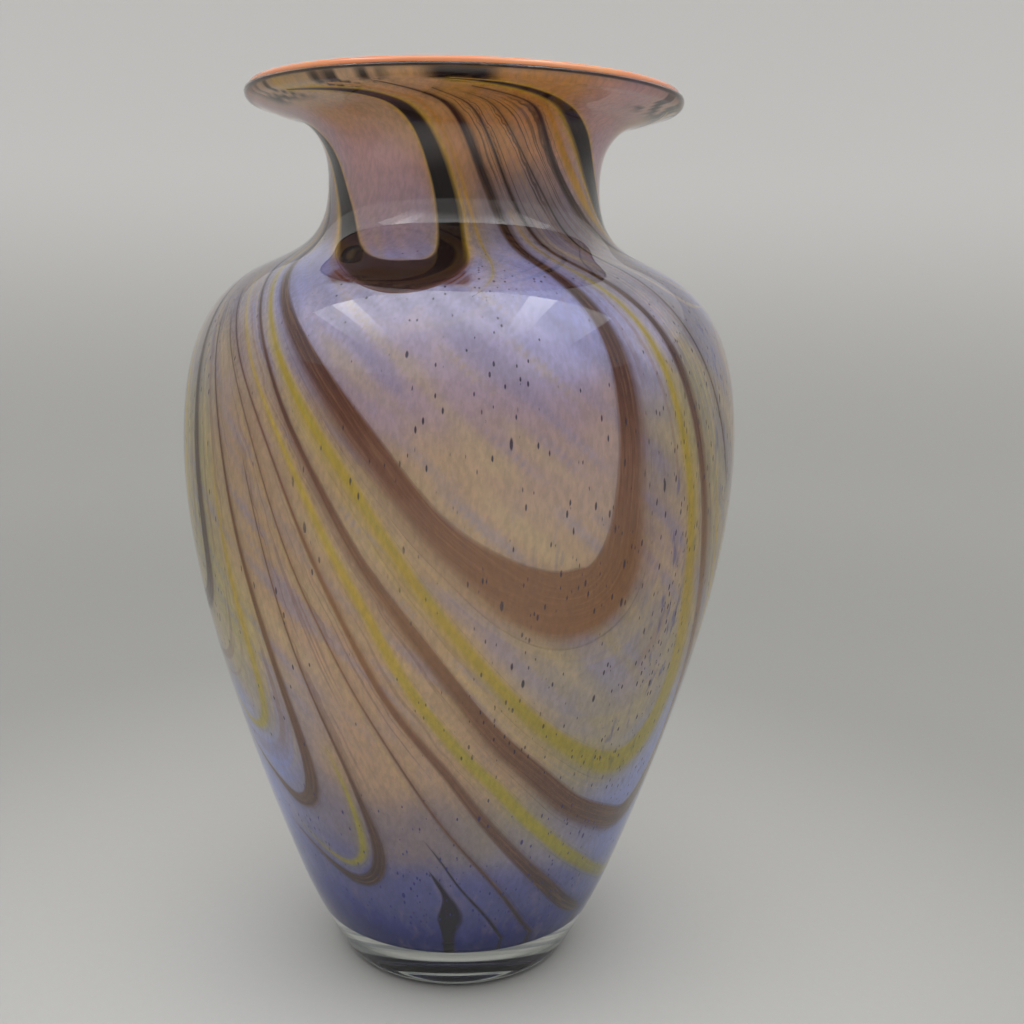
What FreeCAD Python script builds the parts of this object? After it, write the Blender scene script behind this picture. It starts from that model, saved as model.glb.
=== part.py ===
import FreeCAD, Part

import math
import os

from FreeCAD import Vector

# Hand blown, cased art glass vase, in millimetres.
# Origin: centre of the foot's resting ring, +Z up the axis of the vase, -Y is the front.
# From the outside in the wall is clear casing, then the glass trails, then the layer of coloured
# frit that they lie on, then the opal ground, then the orange lining.  In the real vase the hot
# casing closes the shallow space between the trails; here that space is left open.

# ---- Driving dimensions ----
HEIGHT = 320.0
CASING = 3.0             # clear glass over the colour on the wall
TRAIL = 0.4              # thickness of the trails, flattened on the frit
SEAT = 0.02              # clearance between a trail and the glass over and under it
FRIT = 0.6
OPAL = 1.1
LINING = 0.9
RIM_EDGE = 3.0           # radius of the fire-polished lip edge
RIM_CENTRE = 73.5        # radius at which that edge is centred
WRAP_HEIGHT = 2.3        # orange wrap laid on top of the lip
WRAP_RADIUS = 75.2       # outer radius of the orange wrap
FOOT_FLAT = 41.0         # outer radius of the resting ring
PONTIL_RADIUS = 19.0     # ground and polished hollow under the foot
PONTIL_DEPTH = 2.4
RUN_START = 9.0          # run at which the coloured wall starts; below it the foot is clear
COLOUR_CORNER = 5.0      # rounding between that wall and the colour's flat floor
CURVE_STEPS = 44         # points that carry each wall curve
TRAIL_STEP = 2.0         # spacing of the cross-sections along a trail

# Outer face of the colour (radius, height), from the foot up over the shoulder to the lip.
# "Run" is the length along this curve, measured from its first point.
COLOUR_WALL = [
    (47.8, 14.2), (54.3, 27.7), (62.0, 47.2), (70.0, 69.8), (79.1, 98.4), (87.2, 127.3),
    (93.4, 156.7), (96.7, 186.5), (95.5, 216.4), (91.2, 233.8), (85.4, 244.3), (74.5, 254.4),
    (61.1, 261.2), (52.2, 267.3), (47.2, 275.5), (45.3, 286.7), (46.6, 299.6), (50.4, 306.8),
    (56.4, 311.7), (65.0, 314.3), (70.4, 316.3),
]

# Outside of the clear foot below the coloured wall (radius, height).
FOOT_OUTSIDE = [(FOOT_FLAT, 0.0), (44.3, 2.2), (46.6, 5.6), (49.3, 10.6), (52.2, 16.4)]

# Each trail is a stroke of coloured glass: (angle in degrees from the front, run, width).
TRAILS = {
    "front_neck_swag_aubergine": [
        (-54, 344, 1.6), (-43, 341.8, 2.6), (-34, 339, 4), (-28, 335.5, 5.5), (-22.5, 329, 6),
        (-17, 320, 6.2), (-12.3, 310, 7), (-8.3, 300, 7.8), (-5.3, 289, 9), (-4, 279, 9.8),
        (-3.8, 270, 12), (-7, 261.5, 16), (-13.5, 257.5, 18.5), (-21, 258.5, 16),
        (-29, 263.7, 11.5), (-37, 271.3, 9.5), (-45, 280, 8.5), (-53, 289, 8), (-61, 298.5, 7.5),
        (-69, 308.5, 7.5), (-77, 317, 7), (-87, 325.5, 6), (-99, 333, 5), (-113, 339, 3.5),
        (-128, 343.5, 2)],
    "front_neck_halo_yellow": [
        (-37, 344, 1.2), (-27.5, 340.6, 1.6), (-18.8, 334.3, 2), (-12.2, 325, 2.2),
        (-7, 315, 2.2), (-2.3, 305, 2.2), (1.4, 295, 2.4), (4.4, 285, 2.4), (6.3, 275, 2.4),
        (7.4, 265, 2.2), (6.4, 255.5, 2), (1.8, 247.5, 1.6)],
    "front_body_festoon_brown": [
        (-24, 344, 1.4), (-17, 339.6, 2), (-10, 333.5, 3), (-4.5, 326, 3.5), (0.5, 317.5, 4),
        (5.5, 307.5, 4.2), (10.5, 297.5, 4.3), (14.5, 288, 4.5), (17.5, 278.5, 5),
        (20.3, 268, 5.2), (23.5, 257.5, 5.5), (26.8, 247, 6.2), (29.5, 236, 7.5),
        (31.2, 225, 9.5), (32.3, 212, 11.5), (32.8, 198, 13), (32.6, 185, 14.5),
        (32.4, 173.5, 17.5), (31.2, 163, 22), (27.8, 154.4, 26), (21.5, 150.5, 27.5),
        (14.5, 152.5, 24.5), (8, 158, 20.5), (1.5, 166, 16), (-5, 175.5, 13.5), (-12, 189.5, 12.5),
        (-19, 204, 12), (-26, 218, 9.5), (-33, 230.5, 7.5), (-40, 242, 5.5), (-47, 253, 4),
        (-55, 265.5, 3.2), (-63, 278.5, 3), (-72, 292, 3), (-82, 305, 3), (-94, 317.5, 3),
        (-107, 328, 3), (-121, 336.5, 2.5), (-137, 342.8, 1.5)],
    "front_body_festoon_yellow": [
        (18.4, 291, 1.4), (21.8, 283, 2), (24.6, 275, 2.2), (27.8, 265.5, 2.4),
        (31.2, 256.5, 2.8), (35.2, 247, 3.2), (38.7, 237, 4), (41.6, 226, 4.8), (44, 214, 5.4),
        (46.2, 202, 6), (48.2, 190, 6.6), (50, 177, 7.4), (51.6, 164, 8.2), (53.4, 150.5, 9.2),
        (55.4, 136.5, 10.2), (56.8, 123, 11.4), (56.8, 109.5, 12.8), (54.2, 97.5, 13.8),
        (49.5, 90, 13.8), (43, 87, 12.8), (36, 89.2, 11.3), (29, 94.9, 9.6), (23, 101.3, 8.8),
        (17, 109, 8.3), (11, 118.5, 7.8), (5, 129.8, 7.3), (-1, 142.2, 7.1), (-7, 156, 6.9),
        (-13, 171, 6.8), (-19, 186.7, 6.6), (-26, 202.3, 6), (-33, 217.2, 5.2), (-40, 232.6, 4.2),
        (-47, 246, 3.2), (-55, 259, 2.6), (-63, 271.6, 2.4), (-72, 284.8, 2.2), (-82, 297.8, 2.2),
        (-94, 310.8, 2.2), (-107, 322.2, 2.2), (-122, 332, 2), (-138, 339.2, 1.4)],
    "front_outer_festoon_brown": [
        (-9, 338.5, 1.4), (-3.5, 332.8, 1.6), (2, 326.5, 1.8), (7, 319, 2), (12, 310.5, 2.2),
        (16.5, 302, 2.4), (20.8, 294, 2.6), (24.8, 286, 2.8), (28, 277.5, 3), (30.8, 269.5, 3.2),
        (34.2, 260.5, 3.4), (38.2, 251, 3.8), (42.3, 241, 4.2), (45.5, 230.5, 5), (48.2, 218.5, 5.6),
        (50.8, 205, 5.8), (53, 191, 6), (55.1, 178, 6.4), (57.4, 164, 6.8), (60.3, 149, 7),
        (63.3, 133, 7), (65.9, 116, 7.5), (67.6, 99, 8), (68, 84, 9), (65.6, 70, 11),
        (60, 60.5, 12.5), (52.5, 58, 12.5), (45, 61.2, 12.5), (37.5, 66.3, 12), (30, 72.8, 11.3),
        (23, 81.6, 10.7), (16, 91.8, 10), (9, 102.6, 9.2), (2, 116.6, 8), (-5, 132.8, 7.4),
        (-12, 149.3, 6.8), (-19, 166.8, 6), (-26, 187.6, 4.8), (-33, 206.8, 3.8), (-40, 225.2, 3),
        (-47, 239.5, 2.4), (-55, 252.8, 2.2), (-63, 265, 2), (-72, 277.6, 2), (-82, 290.6, 2),
        (-94, 303.8, 2), (-107, 316, 2), (-122, 327, 2), (-139, 335.4, 1.4)],
    "front_outer_festoon_yellow": [
        (58.8, 188, 1.8), (61.6, 176, 2.4), (65, 161, 3), (68.6, 145, 3.6), (71.8, 128, 4.4),
        (74.6, 110, 5), (77, 92, 5.6), (78.6, 74, 6), (79, 57, 6), (76.8, 41, 6.2), (71.5, 31, 6.4),
        (64, 28, 6.4), (56, 32, 6.4), (48, 37.6, 6.4), (40, 44.6, 6.6), (32, 52.5, 6.4),
        (24, 62.5, 6.2), (17, 72.2, 6), (10, 84, 5.8), (3, 95.5, 5.6), (-4, 109.5, 5.5),
        (-11, 127, 5.3), (-17, 147, 5), (-23, 166, 4.6), (-29, 185.5, 3.8), (-35, 203, 3),
        (-42, 219.6, 2.4), (-49, 234, 2), (-57, 247.2, 1.8), (-65, 258.8, 1.6)],
    "front_lower_sweep_brown": [
        (-62, 248, 1.4), (-54, 236, 1.6), (-47, 223, 1.8), (-40.5, 208.5, 2), (-35, 192.5, 2.2),
        (-30.5, 176, 2.6), (-26, 159, 3), (-21, 140.5, 3.4), (-15.5, 121.5, 3.8),
        (-9.5, 106.5, 4.2), (-3, 93, 4.6), (4, 77.5, 5), (11, 64.2, 5.6), (18, 53, 6),
        (25, 43, 6.6), (32, 34.2, 7), (39, 26.2, 7), (46.5, 19.8, 6.5), (54, 15, 4.5)],
    "front_fine_sweep_brown": [
        (-58, 238.5, 1.2), (-51, 225.5, 1.3), (-45, 211.5, 1.4), (-40, 195.5, 1.5),
        (-36, 178, 1.6), (-32, 160, 1.7), (-27, 140, 1.8), (-22, 121.5, 1.9), (-16, 102.5, 2),
        (-9, 82.5, 2.2), (-2, 66, 2.4), (5, 53, 2.6), (12, 41, 2.8), (19, 28.8, 3), (25, 19, 3),
        (29.5, 13, 2.6)],
    "front_base_thread_aubergine": [
        (-9, 63, 1.4), (-4.5, 54, 1.6), (0, 43.5, 1.8), (5, 34.5, 2), (10, 26.5, 2.2),
        (14.5, 18.5, 2.4), (17.5, 13, 2.2)],
    "front_base_knot_aubergine": [
        (-8.2, 49.5, 2), (-6.2, 45.2, 3.2), (-4.2, 40.5, 3), (-2.6, 35.5, 4.5), (-1.8, 30, 8),
        (-1.8, 25, 9.5), (-2.2, 20, 7), (-2.4, 15.5, 5.5), (-2.4, 12, 5.5)],
    "left_hook_brown": [
        (-44, 196, 1.2), (-41.5, 181, 1.4), (-39.2, 164, 1.6), (-37, 147, 1.8), (-34.4, 129, 2),
        (-31.4, 112, 2.2), (-28.4, 97, 2.6), (-25.9, 84, 3.2), (-23.8, 72, 4.2), (-22.3, 61, 5.4),
        (-22.4, 51, 6.4), (-25, 43, 6.8), (-30, 39, 6.4), (-36, 39.8, 5), (-42, 43.6, 3.6),
        (-48.5, 49, 2.4), (-56, 55.5, 1.6)],
    "left_hook_yellow": [
        (-31.5, 96, 1.6), (-29.4, 86, 2.4), (-27.8, 76, 3.2), (-26.9, 66, 3.8), (-26.9, 57, 4.2),
        (-28.8, 50, 4.4), (-33, 46.6, 4), (-38.5, 47.6, 3.2), (-44, 51.2, 2.2), (-50, 55.8, 1.4)],
    "left_drop_brown": [
        (-63, 240, 1.2), (-58, 227, 1.6), (-54, 213, 2), (-51, 199, 2.4), (-48.8, 185, 2.8),
        (-46.9, 170, 3.2), (-45, 155, 3.6), (-43.2, 140, 4), (-41.5, 125, 4.4), (-40, 110, 5),
        (-38.8, 95, 6), (-39, 81.5, 7.2), (-41.8, 71.8, 7.8), (-47, 68.8, 6.6), (-53, 72, 4.6),
        (-59.5, 78, 3), (-67, 86, 2)],
    "left_drop_yellow": [
        (-54, 188, 1.6), (-52.6, 172, 2.6), (-51.4, 156, 3.8), (-50.3, 140, 4.8), (-49.4, 124, 5.4),
        (-49.6, 110, 5.8), (-52.6, 99, 5.6), (-58.5, 95, 4.4), (-65.5, 98, 3), (-73, 105, 1.8)],
    "left_festoon_brown": [
        (-93, 287, 1.4), (-86, 275.5, 1.8), (-79, 263.5, 2.2), (-73, 250.5, 2.6), (-68, 237, 3.4),
        (-64.6, 222, 4.4), (-62.6, 206, 5.2), (-61.4, 190, 5.8), (-60.8, 174, 6.2),
        (-61.2, 158, 6.8), (-63.6, 145.5, 7.6), (-69.5, 138, 8.4), (-77.5, 137.5, 8.8),
        (-86, 142.5, 8.6), (-93.5, 151, 8), (-100.5, 161, 7.2), (-107.5, 173, 6.6),
        (-115, 187, 6), (-123, 202, 5.2), (-131, 216.5, 4.4), (-139.5, 230, 3.8),
        (-149, 242.5, 3.2), (-159, 254, 2.8), (-169, 265.5, 2.6), (-180, 278, 2.4),
        (-191, 290.5, 2.2), (-203, 303.5, 2.2), (-214, 315.5, 2), (-224, 325.4, 1.6),
        (-231, 331.6, 1.2)],
    "left_festoon_yellow": [
        (-81, 245, 2), (-76, 232, 3.4), (-73, 218, 5), (-71.4, 203, 6.4), (-70.8, 188, 7.4),
        (-72, 174, 8.2), (-76.5, 164.5, 8.4), (-83.5, 162, 7.6), (-91, 166.5, 6.4),
        (-98.5, 176, 5.2), (-106, 188.5, 4.2), (-113.5, 202, 3.4), (-121.5, 216.5, 2.8),
        (-130, 230.5, 2.2), (-139.5, 243.5, 1.8)],
    "left_neck_swag_aubergine": [
        (-176, 344, 1.6), (-166, 341, 2.6), (-158, 337, 4), (-151, 331.2, 5.2),
        (-145, 323.5, 6), (-139.5, 314, 6.6), (-134.5, 303.5, 7.4), (-130.8, 292.5, 8.6),
        (-129, 281, 9.6), (-129.4, 271, 12), (-133, 263, 15), (-140, 259.5, 16.5),
        (-148, 261.5, 14), (-156, 267.5, 11), (-164, 275.5, 9.4), (-172, 284.5, 8.4),
        (-181, 294.5, 7.8), (-191, 305, 7.2), (-202, 315.8, 6.4), (-213, 325.4, 5.4),
        (-223, 333.2, 4), (-232.5, 339.4, 2.8), (-242, 343.6, 1.6)],
    "right_neck_swag_aubergine": [
        (78, 344, 1.6), (88, 341, 2.6), (96, 337, 4), (103, 331.2, 5.2), (109, 323.5, 6),
        (114.5, 314, 6.6), (119.3, 303.5, 7.4), (122.8, 292.5, 8.6), (124.6, 281, 9.6),
        (124.2, 271, 12), (120.6, 263, 15), (113.6, 259.5, 16.5), (105.6, 261.5, 14.5),
        (97.6, 267.5, 12), (89.6, 276, 10.6), (81.6, 286, 10), (73, 296.5, 9.6), (64, 306, 9.2),
        (55, 314.5, 8.2), (45.5, 321.3, 6.8), (36, 327.8, 5.4), (27, 334, 4.4), (17.5, 339, 3.6),
        (7, 342.2, 2.8), (-4, 344, 1.6)],
    "right_neck_halo_yellow": [
        (81, 275.5, 1.8), (74.5, 282.5, 3), (68, 289, 4.2), (61.5, 294.6, 5.2), (55.5, 300, 5.4),
        (49, 306, 5.2), (42.5, 312.4, 4.4), (35.5, 319.6, 3.8), (28.5, 326.8, 2.8), (21, 332.8, 1.9),
        (14, 336.9, 1.2)],
    "right_body_festoon_brown": [
        (112, 343.4, 1.4), (120, 338, 2), (127, 330.5, 2.8), (133, 321.5, 3.4), (138.5, 311.5, 3.8),
        (143.5, 301, 4), (148, 290.5, 4.2), (152, 279.5, 4.6), (155.6, 268, 5), (159, 256.5, 5.4),
        (162, 244, 6.2), (164, 230, 7.6), (165.2, 215, 9.2), (165.6, 199, 10.8), (165, 184, 13),
        (162.6, 171.5, 16.5), (158, 161.5, 20.5), (151, 157, 21.5), (143.5, 159.5, 18.5),
        (136.5, 167, 15.5), (129.5, 178, 13.2), (122.5, 191, 12), (115.5, 205, 10.8),
        (108.5, 219, 9), (101.5, 232.5, 7.4), (94.5, 244, 6), (87, 254.5, 5), (79, 264.5, 4.4),
        (71, 274, 4.4), (63, 283, 4.6), (55, 291, 4.8), (47, 298.5, 4.6), (39.5, 306.5, 4.2),
        (32.5, 315.5, 3.8), (25.5, 325, 3), (18, 332, 2.2), (10, 336.4, 1.8), (1.5, 339.8, 1.4)],
    "right_fine_thread_brown": [
        (-3, 337, 1.1), (3.5, 333, 1.3), (10, 326.5, 1.4), (16.5, 319, 1.5), (23, 311.3, 1.6),
        (29.5, 303.2, 1.7), (35, 296, 1.8), (39.8, 287.5, 2), (43.8, 277.5, 2.2), (46.6, 267, 2.2),
        (49, 256, 2), (51.6, 245, 2), (54.4, 233.5, 2), (57.4, 222, 2), (60.6, 209.5, 2.2),
        (63.8, 196, 2.4), (67, 181, 2.6)],
    "right_lower_festoon_yellow": [
        (176, 226, 2), (178, 210, 3.4), (178.5, 194, 5), (177.6, 177, 6.8), (175, 160, 8.4),
        (170.4, 145.5, 10), (163.5, 136, 11), (155.5, 133.5, 10.4), (147.5, 136.8, 9),
        (139.5, 145, 7.6), (131.5, 157, 6.4), (123.5, 171.3, 5.4), (115.5, 187, 4.6),
        (107.5, 203.5, 4.2), (99.5, 217.5, 3.4), (91.5, 230, 2.6), (83, 241.5, 1.8)],
    "back_lower_festoon_brown": [
        (195, 252, 1.4), (196.8, 236, 2), (197.6, 219, 2.8), (197.4, 201, 3.8), (196, 182, 4.8),
        (193.4, 162, 6), (189.6, 142, 7.4), (184.4, 124, 9), (177, 110.5, 10.6), (168, 103.5, 11.6),
        (158.5, 104, 11.4), (149.5, 110.5, 10), (141, 120.5, 8.6), (132.5, 133, 7.2),
        (124, 148, 6), (115.5, 164, 5), (107.5, 180, 4.2), (99.5, 195.5, 3.4), (91.5, 209.5, 2.8),
        (83, 222.5, 2.2), (74.5, 234.5, 1.6)],
    "back_lower_sweep_yellow": [
        (90, 194, 1.6), (96, 176, 2.4), (102, 157, 3.2), (108.5, 138, 4), (116, 119.5, 4.8),
        (124.5, 102, 5.4), (134, 86.5, 6), (144.5, 73.5, 6.4), (156, 63, 6.6), (168, 54.5, 6.4),
        (180, 47, 6), (192, 40, 5.2), (204, 34, 4), (215, 29.5, 2.4)],
    "back_lower_sweep_brown": [
        (86, 176, 1.4), (91.5, 158, 2), (97.5, 138.5, 2.6), (104.5, 119, 3.2), (112.5, 100, 3.8),
        (121.5, 83, 4.6), (131.5, 68.5, 5.4), (142.5, 56.5, 6), (154.5, 46, 6.4), (166.5, 37, 6.6),
        (178.5, 29.5, 6.4), (190, 23, 5.6), (201, 17, 4)],
    "back_left_drop_brown": [
        (213, 214, 1.4), (216.5, 196, 2), (219.5, 177, 2.8), (222.5, 157, 3.6), (225.5, 136, 4.6),
        (228.4, 116, 5.6), (230.4, 97, 6.8), (229.4, 81, 8), (224.6, 71.5, 8), (217.8, 71.5, 6.4),
        (211, 77.5, 4.6), (204.5, 86, 3), (198, 95.5, 1.8)],
    "back_left_hook_brown": [
        (240, 160, 1.4), (244, 140, 1.8), (248, 120, 2.4), (252, 100, 3.2), (255.6, 81, 4.4),
        (257.8, 64, 5.8), (256.8, 50.5, 6.8), (252, 43, 6.8), (245.6, 43.6, 5.4), (239, 49, 3.8),
        (232.5, 56, 2.4)],
}


# ---- The wall's curve, and points measured along it ----

FRIT_TOP = TRAIL
OPAL_TOP = FRIT_TOP + FRIT
LINING_TOP = OPAL_TOP + OPAL
WALL_DEPTH = LINING_TOP + LINING                   # the open inside of the vase starts here


def spline(points):
    curve = Part.BSplineCurve()
    curve.interpolate(Points=points, PeriodicFlag=False)
    return curve


wall_curve = spline([Vector(radius, 0, height) for radius, height in COLOUR_WALL])
RUN_END = wall_curve.LastParameter      # the curve's parameter is its length, chord by chord


def wall_point(run, depth):
    """Point in the XZ plane: `run` along the colour's outer face, `depth` into the wall."""
    along = wall_curve.tangent(run)[0]
    inward = Vector(-along.z, 0, along.x)
    return wall_curve.value(run) + inward * depth


def layer_curve(depth):
    """The wall's curve at `depth`, from the rounded corner up to the lip."""
    step = (RUN_END - RUN_START) / (CURVE_STEPS - 1)
    return spline([wall_point(RUN_START + step * i, depth) for i in range(CURVE_STEPS)])


CORNER = wall_point(RUN_START, COLOUR_CORNER)      # centre of the colour's rounded corner


def floor_edges(depth):
    """Flat floor and rounded corner of a closed layer, ending where its wall starts."""
    top = wall_point(RUN_START, depth)
    radius = COLOUR_CORNER - depth
    low = Vector(CORNER.x, 0, CORNER.z - radius)
    lean = math.atan2(top.z - CORNER.z, top.x - CORNER.x)
    middle_angle = (lean - math.pi / 2) / 2
    middle = CORNER + Vector(math.cos(middle_angle), 0, math.sin(middle_angle)) * radius
    floor = Part.makeLine(Vector(0, 0, low.z), low)
    return [floor, Part.Arc(low, middle, top).toShape()]


def layer_edges(depth):
    return floor_edges(depth) + [layer_curve(depth).toShape()]


def revolve(edges):
    face = Part.Face(Part.Wire(Part.__sortEdges__(edges)))
    return face.revolve(Vector(0, 0, 0), Vector(0, 0, 1), 360)


def layer_solid(outer_depth, inner_depth):
    """A closed-bottomed shell of glass between two depths in the wall."""
    outer = layer_edges(outer_depth)
    inner = layer_edges(inner_depth)
    axis = Part.makeLine(outer[0].Vertexes[0].Point, inner[0].Vertexes[0].Point)
    lip = Part.makeLine(wall_point(RUN_END, outer_depth), wall_point(RUN_END, inner_depth))
    return revolve(outer + inner + [axis, lip])


# ---- Clear casing and the orange wrap on the lip ----

WRAP_BASE = HEIGHT - WRAP_HEIGHT
RIM_HEIGHT = HEIGHT - RIM_EDGE                     # height of the lip edge's centre
LIP_OUTER = wall_point(RUN_END, 0)
LIP_INNER = wall_point(RUN_END, WALL_DEPTH)


def lip_end_point(height):
    """Where a level line meets the layers' cut ends at the lip."""
    share = (height - LIP_OUTER.z) / (LIP_INNER.z - LIP_OUTER.z)
    return LIP_OUTER + (LIP_INNER - LIP_OUTER) * share


def rim_point(degrees):
    turn = math.radians(degrees)
    across = RIM_CENTRE + RIM_EDGE * math.cos(turn)
    return Vector(across, 0, RIM_HEIGHT + RIM_EDGE * math.sin(turn))


def casing_outside():
    """Outer curve of the casing from the resting ring to the underside of the lip."""
    foot = [Vector(radius, 0, height) for radius, height in FOOT_OUTSIDE]
    step = (RUN_END - 2 * RUN_START) / CURVE_STEPS
    wall = [wall_point(2 * RUN_START + step * i, -CASING) for i in range(CURVE_STEPS)]
    return spline(foot + wall + [rim_point(-90)])


def clear_casing():
    shoulder = math.degrees(math.asin((WRAP_BASE - RIM_HEIGHT) / RIM_EDGE))
    rim_side = rim_point(shoulder)
    wrap_seat = lip_end_point(WRAP_BASE)
    pontil_edge = Vector(PONTIL_RADIUS, 0, 0)
    pontil_top = Vector(0, 0, PONTIL_DEPTH)
    bow = math.hypot(PONTIL_RADIUS, PONTIL_DEPTH) ** 2 / (2 * PONTIL_DEPTH)
    half = math.asin(PONTIL_RADIUS / bow) / 2
    pontil_mid = Vector(bow * math.sin(half), 0, PONTIL_DEPTH - bow * (1 - math.cos(half)))
    colour = layer_edges(0)
    return revolve([
        Part.makeLine(pontil_edge, Vector(FOOT_FLAT, 0, 0)),
        casing_outside().toShape(),
        Part.Arc(rim_point(-90), rim_point(-30), rim_side).toShape(),
        Part.makeLine(rim_side, wrap_seat),
        Part.makeLine(wrap_seat, LIP_OUTER),
        *colour,
        Part.makeLine(colour[0].Vertexes[0].Point, pontil_top),
        Part.Arc(pontil_top, pontil_mid, pontil_edge).toShape(),
    ])


def orange_lip_wrap():
    """Ring of orange glass on top of the lip, domed, flush with the lining at its inner side."""
    crown = Vector(RIM_CENTRE, 0, HEIGHT)
    seat_inner = lip_end_point(WRAP_BASE)
    seat_outer = Vector(WRAP_RADIUS, 0, WRAP_BASE)
    roll = Vector(WRAP_RADIUS - 0.35, 0, HEIGHT - WRAP_HEIGHT / 4)
    rise = (LIP_INNER + crown) * 0.5 + Vector(0, 0, 0.12)
    return revolve([
        Part.makeLine(seat_inner, seat_outer),
        Part.Arc(seat_outer, roll, crown).toShape(),
        Part.Arc(crown, rise, LIP_INNER).toShape(),
        Part.makeLine(LIP_INNER, seat_inner),
    ])


# ---- Trails: strokes drawn on the wall ----

ACROSS = (-1.0, -0.5, 0.0, 0.5, 1.0)               # places across a trail, in half widths
SAME_WAY = 1                                       # ruled sides join edges that run alike


def place(angle, run, depth):
    """3-D point at an angle from the front (towards +X) and a run up the wall."""
    flat = wall_point(run, depth)
    turn = math.radians(angle)
    return Vector(flat.x * math.sin(turn), -flat.x * math.cos(turn), flat.z)


def stroke_sections(stroke):
    """Rows of (angle, run) across the stroke, evenly spaced along its smoothed line."""
    flat_radius = wall_point(stroke[len(stroke) // 2][1], 0).x
    scale = math.radians(flat_radius)
    line = spline([Vector(angle * scale, run, width) for angle, run, width in stroke])
    count = round(line.length() / TRAIL_STEP)
    rows = []
    for i in range(count + 1):
        parameter = line.LastParameter * i / count
        middle = line.value(parameter)
        along = line.tangent(parameter)[0]
        radius = wall_point(middle.y, 0).x
        across = Vector(-along.y, along.x * radius / flat_radius, 0).normalize()
        reach = middle.z / 2
        rows.append([(middle.x / scale + math.degrees(across.x * reach * share / radius),
                      middle.y + across.y * reach * share) for share in ACROSS])
    return rows


def draped_surface(rows, depth):
    surface = Part.BSplineSurface()
    surface.interpolate([[place(angle, run, depth) for angle, run in row] for row in rows])
    return surface


def boundary(surface):
    u_first, u_last, v_first, v_last = surface.bounds()
    isos = (surface.uIso(u_first), surface.vIso(v_last), surface.uIso(u_last),
            surface.vIso(v_first))
    return [iso.toShape() for iso in isos]


def trail_solid(stroke):
    """A flattened ribbon of glass between the casing and the frit."""
    rows = stroke_sections(stroke)
    skins = [draped_surface(rows, depth) for depth in (SEAT, TRAIL - SEAT)]
    sides = [Part.makeRuledSurface(*pair, SAME_WAY) for pair in zip(*map(boundary, skins))]
    shell = Part.makeShell([skin.toShape() for skin in skins] + sides)
    shell.sewShape()
    solid = Part.makeSolid(shell)
    if solid.Volume < 0:
        solid.reverse()
    return solid


def main():
    os.makedirs("parts", exist_ok=True)
    nodes = {
        "clear_casing": clear_casing(),
        "orange_lip_wrap": orange_lip_wrap(),
        "colour_frit_layer": layer_solid(FRIT_TOP, OPAL_TOP),
        "opal_ground": layer_solid(OPAL_TOP, LINING_TOP),
        "orange_lining": layer_solid(LINING_TOP, WALL_DEPTH),
    }
    nodes.update((name, trail_solid(stroke)) for name, stroke in TRAILS.items())
    for name, shape in nodes.items():
        print(f"{name:36}{shape.ShapeType:8}{shape.isValid()!s:6}{shape.Volume / 1000:9.2f} cm3")
        shape.exportStep(f"parts/{name}.step")


main()
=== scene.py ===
import math
from collections import namedtuple

import bpy
import numpy as np
from mathutils import Matrix, Vector


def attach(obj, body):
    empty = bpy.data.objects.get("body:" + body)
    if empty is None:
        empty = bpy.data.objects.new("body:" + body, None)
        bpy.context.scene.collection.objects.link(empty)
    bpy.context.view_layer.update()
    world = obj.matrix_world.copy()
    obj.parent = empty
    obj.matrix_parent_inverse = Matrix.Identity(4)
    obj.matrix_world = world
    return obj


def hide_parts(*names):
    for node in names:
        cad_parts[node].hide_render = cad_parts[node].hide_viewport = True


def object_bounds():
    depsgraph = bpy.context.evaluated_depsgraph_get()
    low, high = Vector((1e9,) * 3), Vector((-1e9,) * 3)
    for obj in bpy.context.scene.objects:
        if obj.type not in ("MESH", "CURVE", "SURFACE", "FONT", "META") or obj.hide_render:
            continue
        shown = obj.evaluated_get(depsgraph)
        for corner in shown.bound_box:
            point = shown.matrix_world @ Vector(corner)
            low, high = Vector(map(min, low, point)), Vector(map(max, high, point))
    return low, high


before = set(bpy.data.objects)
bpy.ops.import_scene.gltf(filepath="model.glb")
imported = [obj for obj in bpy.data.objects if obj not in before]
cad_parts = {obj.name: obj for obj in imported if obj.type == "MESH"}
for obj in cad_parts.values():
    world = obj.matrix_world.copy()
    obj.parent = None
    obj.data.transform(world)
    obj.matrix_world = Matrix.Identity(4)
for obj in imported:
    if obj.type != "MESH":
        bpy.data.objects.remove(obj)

# Hand blown, cased art glass vase.  Lengths are in millimetres on the wall and angles in degrees
# from the front towards +X; meshes are made in metres.  -Y is the front, +Z the axis.
# "Run" is the length along the colour's outer face, from just above the foot up to the lip, and
# "depth" is measured from that face into the wall.

MM = 0.001
cad_low, cad_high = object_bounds()
HEIGHT = (cad_high[2] - cad_low[2]) / MM
CASING = 3.0              # clear glass over the colour
GROUND_DEPTH = 0.25       # outer skin of the coloured ground; the trails stand a little proud of it
CASING_DEPTH = 0.60       # the casing's inner skin, sunk into the colour so that the two are fused
FRIT_BACK = 1.0
LINING_FRONT = 2.1
LINING_BACK = 3.0
RUN_START = 9.0           # run at which the coloured wall starts; below it the foot is clear
CORNER_RADIUS = 5.0       # rounding between that wall and the colour's flat floor
RIM_EDGE = 3.0            # radius of the fire-polished lip edge
RIM_CENTRE = 73.5
WRAP_HEIGHT = 2.3         # orange wrap laid on top of the lip
WRAP_RADIUS = 75.2
LIP_TOP = HEIGHT - WRAP_HEIGHT
RIM_HEIGHT = HEIGHT - RIM_EDGE
FOOT_FLAT = 41.0          # outer radius of the resting ring
PONTIL_RADIUS = 19.0      # ground and polished hollow under the foot
PONTIL_DEPTH = 2.4
FOOT_OUTSIDE = [(FOOT_FLAT, 0.0), (44.3, 2.2), (46.6, 5.6), (49.3, 10.6), (52.2, 16.4)]

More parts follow.
